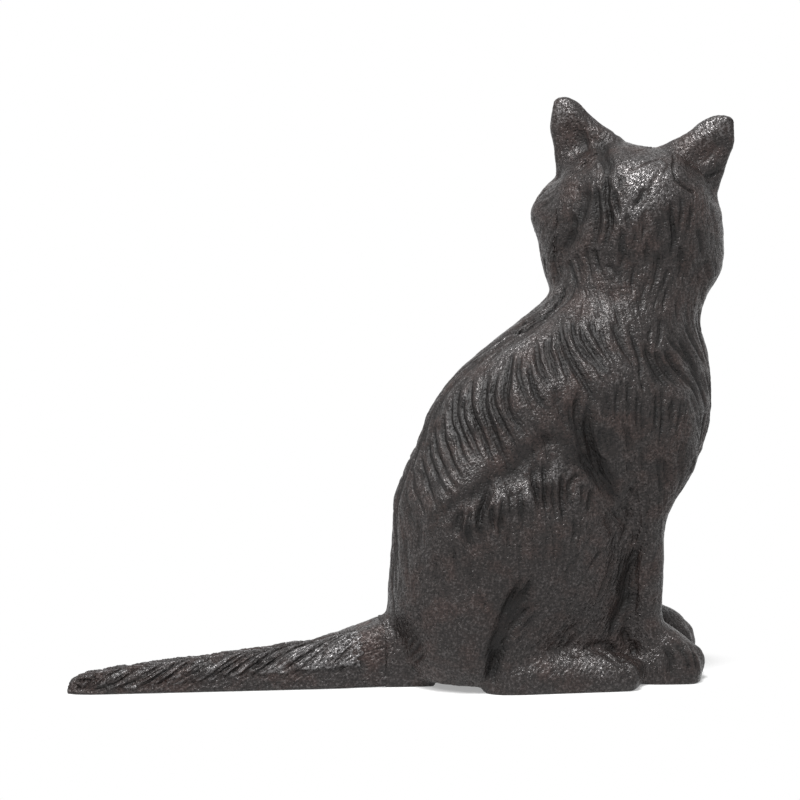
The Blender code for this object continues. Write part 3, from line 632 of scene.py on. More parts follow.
# Depth, width and line of the lids, nose, mouth and fur, as across and up on one half of the face
FACE_LINES = (
    (1.25, 0.80, "6.2 2.0, 8.5 6.0, 13 8.4, 18 7.8, 21.5 5.5"),
    (1.05, 0.70, "6.2 2.0, 9.5 0.2, 13.5 -1, 18 1.4, 21.5 5.5"),
    (0.35, 0.9, "5 9, 9 12.5, 15 14, 20 12.5"), (0.8, 0.6, "0 -8.5, 0 -11, 0 -13.5"),
    (1.0, 0.7, "0 -13.5, 3 -16, 7 -17, 11.5 -15.5"), (0.6, 0.6, "1.5 -5.5, 4 -5.5, 5.3 -7.5, 4.6 -9.5"),
    (0.5, 0.9, "2 9, 2.6 15, 4 22, 6 27"), (0.5, 0.9, "6 15, 8 20, 11.5 26"),
    (0.5, 0.9, "11 16, 15 21, 19 27"), (0.6, 1.0, "23 3, 27 0, 30 -5"),
    (0.6, 1.0, "21 -2, 25 -6, 28 -12"), (0.6, 1.0, "18 -5, 22 -11, 25 -18"),
    (0.6, 1.0, "14 -9, 18 -15, 20 -23"), (0.5, 0.9, "10 -20, 13 -25, 14 -31"),
    (0.5, 0.9, "4 -23, 5 -28, 5 -34"), (0.8, 0.9, "21 24, 23 31, 26 39"),
    (0.8, 0.9, "25 23, 27.5 30, 29.5 38"), (0.7, 0.9, "29 23, 31.5 29, 32.5 35"),
)
# Dents and swellings of half the face: place, radius, and how far it stands out
FACE_SWELLS = (
    ((32.3, 13.6, 4.2), 2.6, -1.0), ((39.5, 2.5, -6.2), 1.3, -1.1), ((30, 6, 1), 2.2, -0.8),
    ((27, 14, -5), 4.5, -0.8), ((26, 13, 11.5), 4.5, 0.8), ((32, 8, -13), 5, 0.6), ((21, 21, -9), 8, 0.9),
)
WHISKER_PITS = ((6, -9.5), (8.4, -10.2), (10.8, -10.4), (6.6, -12), (9.2, -12.7), (11.6, -12.8))
PIT_RADIUS, PIT_RISE = 0.9, -0.7
BEFORE_FACE = 70
FRONT_OUT = 300


def from_face(across_face, up):
    start = HEAD @ (Vector((BEFORE_FACE, across_face, up)) * MM)
    return start, HEAD.to_3x3() @ Vector((-1, 0, 0))


def from_front(y, z):
    return Vector((FRONT_OUT * MM, y * MM, z * MM)), Vector((-1, 0, 0))


def from_behind(y, z):
    return Vector((-FAR_OUT * MM, y * MM, z * MM)), Vector((1, 0, 0))


for side in (1, -1):
    for depth, width, line in FACE_LINES:
        points = [(side * y, z) for y, z in drawn(line)]
        body.locks.add(body.lay(points, from_face, 0.4), depth * MM, width * MM, head=0.08, tail=0.2)
    for (x, y, z), radius, rise in FACE_SWELLS:
        body.swells.append((HEAD @ (Vector((x, side * y, z)) * MM) / MM, radius, rise))
    for y, z in WHISKER_PITS:
        pad = body.skin.ray_cast(*from_face(side * y, z))[0]
        body.swells.append((pad / MM, PIT_RADIUS, PIT_RISE))
# Locks in four rows down the chest, which close in to its middle and wave a little, in mm
CHEST_ROWS = (150, 132, 112, 94)
CHEST_MIDDLE = -7
CHEST_SPACING = 5.2
CHEST_DEPTH, CHEST_WIDTH = 1.2 * MM, 1.0 * MM
for row, top in enumerate(CHEST_ROWS):
    for step in range(-5, 6):
        y = CHEST_MIDDLE + CHEST_SPACING * step + body.chance.normal(0, 0.8) + 2.6 * (row % 2)
        z = top + body.chance.normal(0, 3)
        long = body.chance.uniform(16, 26)
        points = []
        for t in (0, 0.25, 0.5, 0.75, 1):
            points.append((y + 0.16 * (CHEST_MIDDLE - y) * t + 1.5 * math.sin(3 * t + y), z - long * t))
        body.locks.add(body.lay(points, from_front), CHEST_DEPTH, CHEST_WIDTH)
# Locks that leave the spine to both sides, all the way down the back
SPINE_HEIGHTS = range(36, 162, 7)
SPINE_DEPTH, SPINE_WIDTH = 0.9 * MM, 0.9 * MM
for z in SPINE_HEIGHTS:
    for side in (1, -1):
        reach, long = body.chance.uniform(4, 9), body.chance.uniform(20, 30)
        points = []
        for t in (0, 0.3, 0.6, 1):
            points.append((SEAM_Y / MM + side * (1.5 + reach * t**1.3), z + 12 - long * t))
        body.locks.add(body.lay(points, from_behind), SPINE_DEPTH, SPINE_WIDTH)
body.lines = [entry for entry in body.lines if len(entry[0]) > 3]
body.locks.ready()


def hair_amount(spot):
    """Fine hair is strong on the back and shoulders, faint towards the floor and on the crown."""
    low = 0.30 + 0.70 * fade(spot.z, 40 * MM, 85 * MM)
    recess = fade(spot.x, 64 * MM, 72 * MM) * (1 - fade(spot.z, 66 * MM, 78 * MM))
    crown = fade(spot.z, 198 * MM, 212 * MM)
    return low * (1 - 0.7 * recess) * (1 - 0.6 * crown) * fade(spot.z, 3 * MM, 10 * MM)


body.comb(body.tufts, gap=4.5, lengths=(16, 40), depths=(0.40, 0.90), widths=(0.9, 1.4),
          strength=hair_amount, tries=6000)
body.comb(body.hairs, gap=2.2, lengths=(8, 30), depths=(0.22, 0.50), widths=(0.45, 0.65),
          strength=hair_amount, tries=12000)
body.tufts.ready()
body.hairs.ready()


def fur_of_body(spot):
    """How far all the fur stands out here, how coarse its grain is, and how much of it takes the polish and
    painted highlight.
    """
    return 0.0, 1.0, 1.0


# Waves per metre and height in mm of the skin's unevenness: broad, middling, drawn along the fur, and fine
BROAD, MIDDLING = (90, 0.35), (240, 0.16)
STRANDS, FINE = (650, 0.10), (900, 0.06)
STRAND_PULL = 0.75
GROOVE_SHOULDER = 0.35
FORMS_FADE, DRAW_FADE, FLOOR_FADE = 0.8 * MM, (0.4 * MM, 1.4 * MM), (0.3 * MM, 2.5 * MM)
HOLLOW_THINNED = 0.92


def carve(piece, work, cell, faces, fur_at):
    """Cut the carving into a piece's outside. Its inside keeps the plain surface of the sand."""
    cells = piece.modifiers.new("cells", "REMESH")
    cells.mode = "VOXEL"
    cells.voxel_size = cell
    easing = piece.modifiers.new("easing", "SMOOTH")
    easing.iterations = 3
    work_in(piece)
    mesh = piece.data
    count = len(mesh.vertices)
    places = np.empty(count * 3, np.float32)
    mesh.vertices.foreach_get("co", places)
    places = places.reshape(-1, 3)
    shade = np.zeros(count, np.float32)
    wear_and_highlight = np.zeros(count, np.float32)
    lie = np.tile(np.array((0, 0, 1), np.float32), (count, 1))
    inner = []
    outer, onto, outs, depths = [], [], [], []
    for i, place in enumerate(places):
        met, _, _, depth = work.bare.find_nearest(place, HOLLOW_DEPTH)
        if met is not None:
            place = Vector(place)
            places[i] = place.lerp(bridged(place), 1 - fade(depth, 1 * MM, HOLLOW_DEPTH))
        met, out, _, depth = work.skin.find_nearest(places[i], CARVED_DEPTH)
        if met is None or depth > HOLLOW_DEPTH:
            inner.append(i)
        if met is not None:
            outer.append(i)
            onto.append(met)
            outs.append(out)
            depths.append(depth)
    forms, folds = work.forms_at(np.array(onto))
    # Wear that is also painted highlight, from the brighter places listed above
    wear_and_highlight[outer] = work.wear_and_highlight_at(np.array(onto))
    for i, met, out, depth, form, fold in zip(outer, onto, outs, depths, forms, folds):
        lock = work.locks.depth_at(met, GROOVE_SHOULDER)
        tuft = work.tufts.depth_at(met)
        hair = work.hairs.depth_at(met)
        swell = noise.noise(met * BROAD[0]) * BROAD[1] + noise.noise(met * MIDDLING[0]) * MIDDLING[1]
        way = work.locks.way_at(met)
        way -= out * way.dot(out)
        way.normalize()
        strand = met - way * met.dot(way) * STRAND_PULL
        rise, grain, bared_and_highlit = fur_at(met)
        wear_and_highlight[i] *= bared_and_highlit
        rough = noise.noise(strand * STRANDS[0]) * STRANDS[1] + noise.noise(met * FINE[0]) * FINE[1]
        height = (swell + rough * grain) * MM - lock - tuft - hair + form + rise
        share = 1 - fade(depth, FORMS_FADE, HOLLOW_DEPTH)
        draw = 1 - fade(depth, *DRAW_FADE)
        floor = fade(places[i][2], *FLOOR_FADE)
        place = Vector(places[i])
        drawn_in = max(-DRAW_LIMIT, min(DRAW_LIMIT, (met - place).dot(out)))
        place += out * (drawn_in * draw + height * share) * floor
        place.z = max(place.z, 0.0)
        places[i] = place
        # The groove attribute is painted shade: how deep the locks, tufts, hairs and folds cut here
        shade[i] = ((lock + 0.7 * tuft + hair) / MM + FOLD_SHADE * fold) * share
        lie[i] = way
    mesh.vertices.foreach_set("co", places.ravel())
    mesh.attributes.new("groove", "FLOAT", "POINT").data.foreach_set("value", shade)
    mesh.attributes.new("wear_and_highlight", "FLOAT", "POINT").data.foreach_set("value", wear_and_highlight)
    mesh.attributes.new("lie", "FLOAT_VECTOR", "POINT").data.foreach_set("vector", lie.ravel())
    if inner:
        hollow = piece.vertex_groups.new(name="hollow")
        hollow.add(inner, 1.0, "REPLACE")
        thin = piece.modifiers.new("thin", "DECIMATE")
        thin.vertex_group = "hollow"
        thin.ratio = 1 - HOLLOW_THINNED * len(inner) / count
        work_in(piece)
        piece.vertex_groups.clear()
    thin = piece.modifiers.new("thin", "DECIMATE")
    thin.ratio = min(1, faces / sum(len(p.vertices) - 2 for p in piece.data.polygons))
    work_in(piece)
    piece.data.shade_smooth()


def stands_for(piece, node, material):
    piece.data.materials.clear()
    piece.data.materials.append(material)
    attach(piece, "root")
    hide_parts(node)


def socket_kind(value):
    if isinstance(value, float):
        return "NodeSocketFloat"
    return "NodeSocketColor" if len(value) == 4 else "NodeSocketVector"


def new_group(name, inputs, outputs):
    """A node group with its entry and exit, from the names and first values of its sockets."""
    tree = bpy.data.node_groups.new(name, "ShaderNodeTree")
    for label, value in inputs.items():
        socket = tree.interface.new_socket(label, in_out="INPUT", socket_type=socket_kind(value))
        socket.default_value = value
    for label, value in outputs.items():
        tree.interface.new_socket(label, in_out="OUTPUT", socket_type=socket_kind(value))
    return tree, tree.nodes.new("NodeGroupInput").outputs, tree.nodes.new("NodeGroupOutput").inputs


def wired(tree, kind, settings=(), **links):
    """A node with its settings, and with sockets or values on its inputs."""
    node = tree.nodes.new(kind)
    for key, value in dict(settings).items():
        setattr(node, key, value)
    for key, value in links.items():
        socket = node.inputs[int(key[1:])] if key[0] == "i" and key[1:].isdigit() else node.inputs[key]
        if isinstance(value, bpy.types.NodeSocket):
            tree.links.new(value, socket)
        else:
            socket.default_value = value
    return node


def worked(tree, operation, *values):
    """One step of arithmetic on sockets and numbers."""
    inputs = {f"i{number}": value for number, value in enumerate(values)}
    return wired(tree, "ShaderNodeMath", {"operation": operation}, **inputs).outputs[0]


def spread(tree, value, ends, results=(0.0, 1.0)):
    """The value, with its first end made the first result, its second the second, and held beyond them."""
    inputs = {f"i{number}": end for number, end in enumerate((value, *ends, *results))}
    return wired(tree, "ShaderNodeMapRange", **inputs).outputs[0]


def blended(tree, amount, low, high):
    """From the low colour to the high one."""
    return wired(tree, "ShaderNodeMix", {"data_type": "RGBA"}, i0=amount, i6=low, i7=high).outputs[2]


def on_object(tree):
    return tree.nodes.new("ShaderNodeTexCoord").outputs["Object"]


BUMPS_PER_METRE = 420.0
BUMP_SHARE = 0.9
PITS_PER_METRE = 780.0
PIT_ENDS = (0.05, 0.42)


def sand_grain_group():
    """What moulding sand leaves: sharp grains, small pits between them, and broader unevenness."""
    inputs = {"Grains per Metre": 1000.0, "Pit Depth": 0.6, "Sharpness": 0.7}
    tree, entry, leave = new_group("sand_grain", inputs, {"Height": 0.0, "Speckle": 0.0, "Pits": 0.0})
    where = on_object(tree)
    grain = wired(tree, "ShaderNodeTexNoise", Vector=where, Scale=entry["Grains per Metre"], Detail=2.5,
                  Roughness=entry["Sharpness"]).outputs[0]
    wide = wired(tree, "ShaderNodeTexNoise", Vector=where, Scale=BUMPS_PER_METRE, Detail=1.0).outputs[0]
    pits = wired(tree, "ShaderNodeTexVoronoi", {"feature": "SMOOTH_F1"}, Vector=where, Scale=PITS_PER_METRE,
                 Smoothness=0.3)
    pit = spread(tree, pits.outputs["Distance"], PIT_ENDS, (1.0, 0.0))
    holes = worked(tree, "MULTIPLY", pit, entry["Pit Depth"])
    uneven = worked(tree, "MULTIPLY_ADD", wide, BUMP_SHARE, grain)
    tree.links.new(worked(tree, "SUBTRACT", uneven, holes), leave["Height"])
    tree.links.new(grain, leave["Speckle"])
    tree.links.new(pit, leave["Pits"])
    return tree


HAIR_STEPS = 3
HAIR_STRIDE = 0.7 * MM


def combed_hair_group():
    """Hairs finer than the carving tool's locks: fine noise drawn out along the lie of the fur."""
    inputs = {"Lie": (0.0, 0.0, 1.0), "Hairs per Metre": 900.0}
    tree, entry, leave = new_group("combed_hair", inputs, {"Height": 0.0})
    where = on_object(tree)
    way = wired(tree, "ShaderNodeVectorMath", {"operation": "NORMALIZE"}, i0=entry["Lie"]).outputs[0]
    total = 0.0
    for step in range(-HAIR_STEPS, HAIR_STEPS + 1):
        along = step * HAIR_STRIDE
        shift = wired(tree, "ShaderNodeVectorMath", {"operation": "SCALE"}, i0=way, Scale=along)
        spot = wired(tree, "ShaderNodeVectorMath", {"operation": "ADD"}, i0=where, i1=shift.outputs[0])
        strand = wired(tree, "ShaderNodeTexNoise", Vector=spot.outputs[0], Scale=entry["Hairs per Metre"],
                       Detail=0.0)
        total = worked(tree, "ADD", total, strand.outputs[0])
    middle = 0.5 * (2 * HAIR_STEPS + 1)
    tree.links.new(spread(tree, total, (middle - 1.0, middle + 1.0)), leave["Height"])
    return tree


# Where the iron turns rusty, worn, dark or matt: the ends of a noise or depth, and the results there. Worn
# is partly wear and partly painted highlight; dark in grooves, between hairs and in pits is painted shade.
CLOUDS_PER_METRE = 90.0
RUSTY_CLOUDS = (0.46, 0.64)
HIGHLIT_RIDGE_ENDS = (0.35, 0.0)
WEAR_AND_HIGHLIGHT_ON_GRAIN = 0.14
BARED_AND_HIGHLIT_GRAINS = (0.53, 0.67)
RUBBED_AND_HIGHLIT_RESULTS = (0.35, 1.0)
GROOVE_SHADE_ENDS, GROOVE_SHADE_TONES = (0.10, 1.0), (1.0, 0.30)
GRAIN_ENDS, GRAIN_TONES = (0.40, 0.60), (0.46, 1.30)
HAIR_SHADE_ENDS, HAIR_SHADE_TONES = (0.15, 0.6), (0.80, 1.08)
PIT_SHADE_ENDS, PIT_SHADE_TONES = (0.3, 0.9), (1.0, 0.5)
MATT_CLOUDS, MATT_RESULTS = (0.35, 0.68), (-0.05, 0.07)
DARK_ENDS, DARK_RESULTS = (1.0, 0.4), (0.0, 0.34)
WEAR_POLISH = -0.10
BARE_METAL, OILED_METAL = 0.45, 0.12


def oiled_iron_group():
    """Oiled brown-black iron with rusty clouds, painted shade in its grooves, and painted highlights on
    polished ridges.
    """
    inputs = {
        "Groove Shade": 0.0, "Speckle": 0.5, "Hair": 0.5, "Wear and Highlight": 0.0, "Pits": 0.0,
        "Oiled": (0.03, 0.025, 0.023, 1), "Rusty": (0.05, 0.03, 0.026, 1), "Worn Highlight": (0.07, 0.065, 0.065, 1),
        "Rust Amount": 0.5, "Dullness": 0.5,
    }
    outputs = {"Color": (0, 0, 0, 1), "Roughness": 0.0, "Metallic": 0.0}
    tree, entry, leave = new_group("oiled_iron", inputs, outputs)
    cloud = wired(tree, "ShaderNodeTexNoise", Vector=on_object(tree), Scale=CLOUDS_PER_METRE, Detail=4.0,
                  Roughness=0.55).outputs[0]
    rust = worked(tree, "MULTIPLY", spread(tree, cloud, RUSTY_CLOUDS), entry["Rust Amount"])
    tone = blended(tree, rust, entry["Oiled"], entry["Rusty"])
    # Painted highlight: on ridges in the rubbed places, grains take the brighter, more metallic worn colour
    highlit_ridge = spread(tree, entry["Groove Shade"], HIGHLIT_RIDGE_ENDS)
    bared_and_highlit = worked(tree, "MULTIPLY_ADD", entry["Wear and Highlight"], WEAR_AND_HIGHLIGHT_ON_GRAIN, entry["Speckle"])
    rubbed_and_highlit = spread(tree, entry["Wear and Highlight"], (0.0, 1.0), RUBBED_AND_HIGHLIT_RESULTS)
    highlit_ridge = worked(tree, "MULTIPLY", highlit_ridge, rubbed_and_highlit)
    high = worked(tree, "MULTIPLY", highlit_ridge, spread(tree, bared_and_highlit, BARED_AND_HIGHLIT_GRAINS))
    worn_and_highlit = blended(tree, high, tone, entry["Worn Highlight"])
    # Painted shade in grooves and folds
    shade = spread(tree, entry["Groove Shade"], GROOVE_SHADE_ENDS, GROOVE_SHADE_TONES)
    shade = worked(tree, "MULTIPLY", shade, spread(tree, entry["Speckle"], GRAIN_ENDS, GRAIN_TONES))
    # Painted shade between the combed hairs
    shade = worked(tree, "MULTIPLY", shade, spread(tree, entry["Hair"], HAIR_SHADE_ENDS, HAIR_SHADE_TONES))
    # Painted shade in the sand's pits
    shade = worked(tree, "MULTIPLY", shade, spread(tree, entry["Pits"], PIT_SHADE_ENDS, PIT_SHADE_TONES))
    color = wired(tree, "ShaderNodeVectorMath", {"operation": "SCALE"}, i0=worn_and_highlit, Scale=shade)
    tree.links.new(color.outputs[0], leave["Color"])
    matt = spread(tree, cloud, MATT_CLOUDS, MATT_RESULTS)
    matt = worked(tree, "ADD", matt, spread(tree, shade, DARK_ENDS, DARK_RESULTS))
    matt = worked(tree, "ADD", matt, entry["Dullness"])
    tree.links.new(worked(tree, "MULTIPLY_ADD", entry["Wear and Highlight"], WEAR_POLISH, matt), leave["Roughness"])
    tree.links.new(worked(tree, "MULTIPLY_ADD", high, BARE_METAL, OILED_METAL), leave["Metallic"])
    return tree


SAND_GRAIN = sand_grain_group()
COMBED_HAIR = combed_hair_group()
OILED_IRON = oiled_iron_group()
OILED = (0.0215, 0.0168, 0.0158, 1)
RUSTY = (0.040, 0.023, 0.019, 1)
# A brighter worn iron colour, which also paints the highlights
WORN_AND_HIGHLIT = (0.115, 0.110, 0.110, 1)
PIT_DEPTH = 0.6
DIM_SHINE = (0.72, 0.72, 0.72, 1)


def placed(tree, group, values):
    """A group set in a material, with sockets or values on its inputs."""
    node = tree.nodes.new("ShaderNodeGroup")
    node.node_tree = group
    for name, value in values.items():
        if isinstance(value, bpy.types.NodeSocket):
            tree.links.new(value, node.inputs[name])
        else:
            node.inputs[name].default_value = value
    return node.outputs


def carved(tree, name, output):
    """What the carving wrote on the mesh under this name."""
    return wired(tree, "ShaderNodeAttribute", {"attribute_name": name}).outputs[output]


def iron(name, rust, dullness, grain_mm, hair_mm, worn_and_highlit=WORN_AND_HIGHLIT):
    material = bpy.data.materials.new(name)
    material.use_nodes = True
    tree = material.node_tree
    shader = tree.nodes["Principled BSDF"]
    shader.inputs["Specular IOR Level"].default_value = 0.50
    shader.inputs["Specular Tint"].default_value = DIM_SHINE
    grain = placed(tree, SAND_GRAIN, {"Pit Depth": PIT_DEPTH})
    hair = placed(tree, COMBED_HAIR, {"Lie": carved(tree, "lie", "Vector")})["Height"]
    tone = placed(tree, OILED_IRON, {
        "Oiled": OILED, "Rusty": RUSTY, "Worn Highlight": worn_and_highlit, "Rust Amount": rust, "Dullness": dullness,
        "Wear and Highlight": carved(tree, "wear_and_highlight", "Fac"), "Groove Shade": carved(tree, "groove", "Fac"), "Hair": hair,
        "Speckle": grain["Speckle"], "Pits": grain["Pits"],
    })
    tree.links.new(tone["Color"], shader.inputs["Base Color"])
    tree.links.new(tone["Roughness"], shader.inputs["Roughness"])
    tree.links.new(tone["Metallic"], shader.inputs["Metallic"])
    hairs = wired(tree, "ShaderNodeBump", Height=hair, Strength=1.0, Distance=hair_mm * MM)
    bump = wired(tree, "ShaderNodeBump", Height=grain["Height"], Strength=1.0, Distance=grain_mm * MM,
                 Normal=hairs.outputs[0])
    tree.links.new(bump.outputs[0], shader.inputs["Normal"])
    return material


fur_iron = iron("oiled_iron_fur", rust=0.55, dullness=0.22, grain_mm=0.33, hair_mm=0.24)
right_fur = new_piece("right_half_fur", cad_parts["right_half_casting"].data.copy())
carve(right_fur, body, SKIN_CELL, CASTING_FACES, fur_of_body)
stands_for(right_fur, "right_half_casting", fur_iron)

# Left half casting
# The cat's left side with both ears and the face: a second hollow casting, from the same pattern maker.
# Its edge closes over the right half's back of the skull, and the seam is left as cast.
left_fur = new_piece("left_half_fur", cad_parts["left_half_casting"].data.copy())
carve(left_fur, body, SKIN_CELL, CASTING_FACES, fur_of_body)
stands_for(left_fur, "left_half_casting", fur_iron)

# Tail wedge
# A solid iron casting with a flat sole, whose rising back is the wedge that a door rides up on. Its tongue
# is held between the halves. The top is carved with slanting locks, and the sides below are left plain.
TAIL_CELL = 0.32 * MM
TAIL_FACES = 180_000
# Brighter worn colour of the tail's top, which also paints its highlights
TAIL_WORN_AND_HIGHLIT = (0.150, 0.145, 0.146, 1)
TAIL_JOINT_X = -11.3 * MM
JOINT_NEAR = 0.5 * MM
JOINT_CLOSING = 0.5 * MM
TAIL_FUR_FROM, TAIL_FUR_TO = -21.0, -139.0
TAIL_FUR_LONG = TAIL_FUR_FROM - TAIL_FUR_TO
FUR_STANDS = 1.0 * MM
# Slanting locks: how far each runs along the tail, the angles from straight up where it starts and ends,
# and their spacing, depth and width in mm
SLANT_REACH = (26, 38)
SLANT_START, SLANT_END = (-16, 10), (86, 99)
SLANT_SPACING = (4.5, 7.0)
SLANT_DEPTH, SLANT_WIDTH = (0.5, 1.3), (0.45, 0.75)


def tail_fur_edge(x):
    """Height in mm at which the tail's carving stops: 4 near the tip, rising to 10 near the root."""
    return 4.0 + (x + 108.0) * 6.0 / 82.0


def from_core(side):
    """Casts outwards from inside the tail, at an angle from straight up."""
    def cast(x, angle):
        a = math.radians(angle)
        start = Vector((x * MM, SEAM_Y, max(2.0, tail_fur_edge(x)) * MM))
        return start, Vector((0, side * math.sin(a), math.cos(a)))
    return cast


tail = Carving(("tail_wedge",), HALVES, seed=11)
for side in (-1, 1):
    x = TAIL_FUR_FROM
    while x > TAIL_FUR_TO:
        reach = tail.chance.uniform(*SLANT_REACH) * (0.6 + 0.4 * (x - TAIL_FUR_TO) / TAIL_FUR_LONG)
        low = tail.chance.uniform(*SLANT_END)
        start = tail.chance.uniform(*SLANT_START)
        points = [(x - reach * t, start + (low - start) * t**1.15) for t in (0, 0.2, 0.4, 0.6, 0.8, 1)]
        points = [p for p in points if p[0] > TAIL_FUR_TO]
        if len(points) > 2:
            depth, width = tail.chance.uniform(*SLANT_DEPTH), tail.chance.uniform(*SLANT_WIDTH)
            lock = tail.lay(points, from_core(side), 0.4)
            tail.locks.add(lock, depth * MM, width * MM, head=0.08, tail=0.15)
        x -= tail.chance.uniform(*SLANT_SPACING)
tail.locks.ready()
# Wear along the tail's crest, which also paints its highlights
for x in range(-20, -136, -8):
    crest = tail.skin.ray_cast(*from_core(1)(x, 0))[0] / MM
    tail.rubbed_and_highlit.append((crest - Vector((0, 0, 2)), 0.85 * crest.z, 0.9))
FLASH_BUMPS = ((-50.6, 1.3, 0.7), (-82.9, 1.2, 0.6), (-125.4, 1.3, 0.6))
for x, radius, rise in FLASH_BUMPS:
    tail.swells.append((tail.skin.ray_cast(*from_core(1)(x, 0))[0] / MM, radius, rise))


def tail_hair_amount(spot):
    """One on the carved top of the tail, and nothing under its ragged edge or on the collar."""
    x, z = spot.x / MM, spot.z / MM
    x += 5.0 * noise.noise(Vector((0, 0, z * 0.35)))
    z += 2.2 * noise.noise(Vector((x * 0.16, 0, 0))) + 0.8 * noise.noise(Vector((x * 0.7, 5, 0)))
    edge = tail_fur_edge(x)
    return fade(z, edge - 0.6, edge + 0.6) * fade(-x, -TAIL_FUR_FROM, 1 - TAIL_FUR_FROM)


def fur_of_tail(spot):
    """The fur stands out over the plain side and collar, most along its lower edge, and is coarse."""
    amount = tail_hair_amount(spot)
    low = 1 - fade(spot.z / MM, tail_fur_edge(spot.x / MM) + 1, tail_fur_edge(spot.x / MM) + 9)
    rise = FUR_STANDS * (0.25 + 0.75 * low) * amount * fade(spot.x / MM, TAIL_FUR_TO, TAIL_FUR_TO + 20)
    return rise, 0.8 + 2.2 * amount, amount


tail.comb(tail.tufts, gap=2.4, lengths=(6, 16), depths=(0.25, 0.6), widths=(0.5, 0.9),
          strength=tail_hair_amount, tries=4000)
tail.comb(tail.hairs, gap=1.2, lengths=(4, 12), depths=(0.25, 0.55), widths=(0.32, 0.5),
          strength=tail_hair_amount, tries=7000)
tail.tufts.ready()
tail.hairs.ready()
tail_iron = iron("oiled_iron_tail", rust=0.9, dullness=0.26, grain_mm=0.34, hair_mm=0.60, worn_and_highlit=TAIL_WORN_AND_HIGHLIT)
tail_fur = new_piece("tail_fur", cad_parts["tail_wedge"].data.copy())
for v in tail_fur.data.vertices:
    if abs(v.co.x - TAIL_JOINT_X) < JOINT_NEAR:
        v.co.x += JOINT_CLOSING
carve(tail_fur, tail, TAIL_CELL, TAIL_FACES, fur_of_tail)
stands_for(tail_fur, "tail_wedge", tail_iron)

# Screws
# Two long slotted machine screws of blackened steel. They enter from the cat's left, draw the halves
# together, and are shown just as the CAD has them.
screw_steel = iron("blackened_steel", rust=0.1, dullness=0.35, grain_mm=0.05, hair_mm=0.0)
for node in ("shoulder_screw", "rump_screw"):
    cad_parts[node].data.materials.clear()
    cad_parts[node].data.materials.append(screw_steel)

# Table and light
# A white sweep under a soft box almost overhead, with a weak one over the cat's tail, in a pale room. The
# floor keeps its shadow close round the cat and is plain white beyond.
SHADOW_SIZE = (0.140, 0.052, 1)
SHADOW_FADE = (0.92, 1.12)
SHADOW_Y = -12 * MM
FLOOR_DROP = 0.05 * MM
FLOOR_GLOW = 0.36
FLOOR_WHITE = (0.62, 0.62, 0.62, 1)
SWEEP_WHITE = (0.8, 0.8, 0.8, 1)
ROOM_LIGHT = 0.24


def looked_at_mask(tree):
    """One where the camera, a reflection or a view through something looks at the surface."""
    path = tree.nodes.new("ShaderNodeLightPath").outputs
    seen = worked(tree, "ADD", path["Is Camera Ray"], path["Is Glossy Ray"])
    return worked(tree, "ADD", seen, path["Is Transmission Ray"])


floor_mesh = bpy.data.meshes.new("floor")
floor_mesh.from_pydata([(-3, -3, 0), (3, -3, 0), (3, 3, 0), (-3, 3, 0)], [], [(0, 1, 2, 3)])
floor = new_piece("floor", floor_mesh)
floor.location = (0, SHADOW_Y, -FLOOR_DROP)
white = bpy.data.materials.new("white_sweep")
white.use_nodes = True
tree = white.node_tree
shader = tree.nodes["Principled BSDF"]
shader.inputs["Base Color"].default_value = SWEEP_WHITE
shader.inputs["Roughness"].default_value = 0.9
shader.inputs["Specular IOR Level"].default_value = 0.0
seen = tree.nodes.new("ShaderNodeBsdfDiffuse")
seen.inputs["Color"].default_value = FLOOR_WHITE
glow = tree.nodes.new("ShaderNodeEmission")
glow.inputs["Strength"].default_value = FLOOR_GLOW
shaded = wired(tree, "ShaderNodeAddShader", i0=seen.outputs[0], i1=glow.outputs[0])
plain = tree.nodes.new("ShaderNodeEmission")
near = wired(tree, "ShaderNodeVectorMath", {"operation": "DIVIDE"}, i0=on_object(tree), i1=SHADOW_SIZE)
far = wired(tree, "ShaderNodeVectorMath", {"operation": "LENGTH"}, i0=near.outputs[0])
beyond = wired(tree, "ShaderNodeMapRange", {"interpolation_type": "SMOOTHSTEP"}, i0=far.outputs["Value"],
               i1=SHADOW_FADE[0], i2=SHADOW_FADE[1])
near_or_far = wired(tree, "ShaderNodeMixShader", i0=beyond.outputs[0], i1=shaded.outputs[0],
                    i2=plain.outputs[0])
shown = wired(tree, "ShaderNodeMixShader", i0=looked_at_mask(tree), i1=shader.outputs[0],
              i2=near_or_far.outputs[0])
tree.links.new(shown.outputs[0], tree.nodes["Material Output"].inputs["Surface"])
floor.data.materials.append(white)

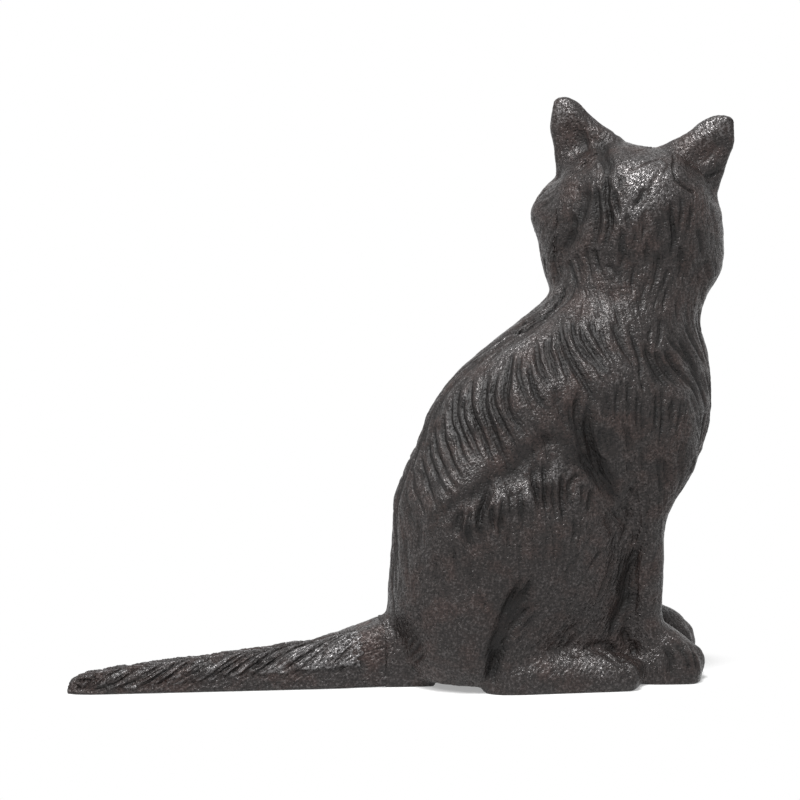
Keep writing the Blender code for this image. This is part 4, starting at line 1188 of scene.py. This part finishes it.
world = bpy.data.worlds.new("pale_room")
bpy.context.scene.world = world
world.use_nodes = True
tree = world.node_tree
background = tree.nodes["Background"]
background.inputs["Color"].default_value = (1, 1, 1, 1)
strength = spread(tree, looked_at_mask(tree), (0.0, 1.0), (ROOM_LIGHT, 1.0))
tree.links.new(strength, background.inputs["Strength"])


def lamp(name, place, aim, width, height, watts):
    light = bpy.data.lights.new(name, "AREA")
    light.shape = "RECTANGLE"
    light.size = width
    light.size_y = height
    light.energy = watts
    lit = bpy.data.objects.new(name, light)
    bpy.context.scene.collection.objects.link(lit)
    lit.location = place
    lit.rotation_mode = "QUATERNION"
    lit.rotation_quaternion = (Vector(aim) - Vector(place)).to_track_quat("-Z", "Y")
    return lit


CAT_MIDDLE = (0, 0, 0.12)
lamp("top_softbox", (-0.150, -0.430, 1.180), CAT_MIDDLE, width=0.34, height=0.46, watts=18.5)
lamp("left_softbox", (-0.708, -0.478, 0.889), CAT_MIDDLE, width=0.22, height=0.22, watts=4.0)

# Camera
# A little higher than the cat's ears and a little to its tail side, looking slightly down. Its lens is set
# so that a pixel at the aim is as wide as it is in the photograph.
CAMERA_AIM = Vector((-2.8, -9.0, 118.5)) * MM
CAMERA_TURN = math.radians(11)
CAMERA_RISE = math.radians(14)
CAMERA_AWAY = 1.1
PIXEL = 0.413 * MM
IMAGE_WIDTH = 800
SENSOR = 36
camera = bpy.data.objects.new("camera", bpy.data.cameras.new("camera"))
bpy.context.scene.collection.objects.link(camera)
bpy.context.scene.camera = camera
back = Vector((math.sin(CAMERA_TURN), math.cos(CAMERA_TURN), 0)) * CAMERA_AWAY
camera.location = Vector((CAMERA_AIM.x, CAMERA_AIM.y, 0)) - back
camera.location.z = CAMERA_AWAY * math.tan(CAMERA_RISE)
to_aim = CAMERA_AIM - camera.location
camera.rotation_mode = "QUATERNION"
camera.rotation_quaternion = to_aim.to_track_quat("-Z", "Y")
camera.data.sensor_width = SENSOR
camera.data.lens = SENSOR * to_aim.length / (IMAGE_WIDTH * PIXEL)

bpy.context.scene.view_settings.view_transform = "Standard"
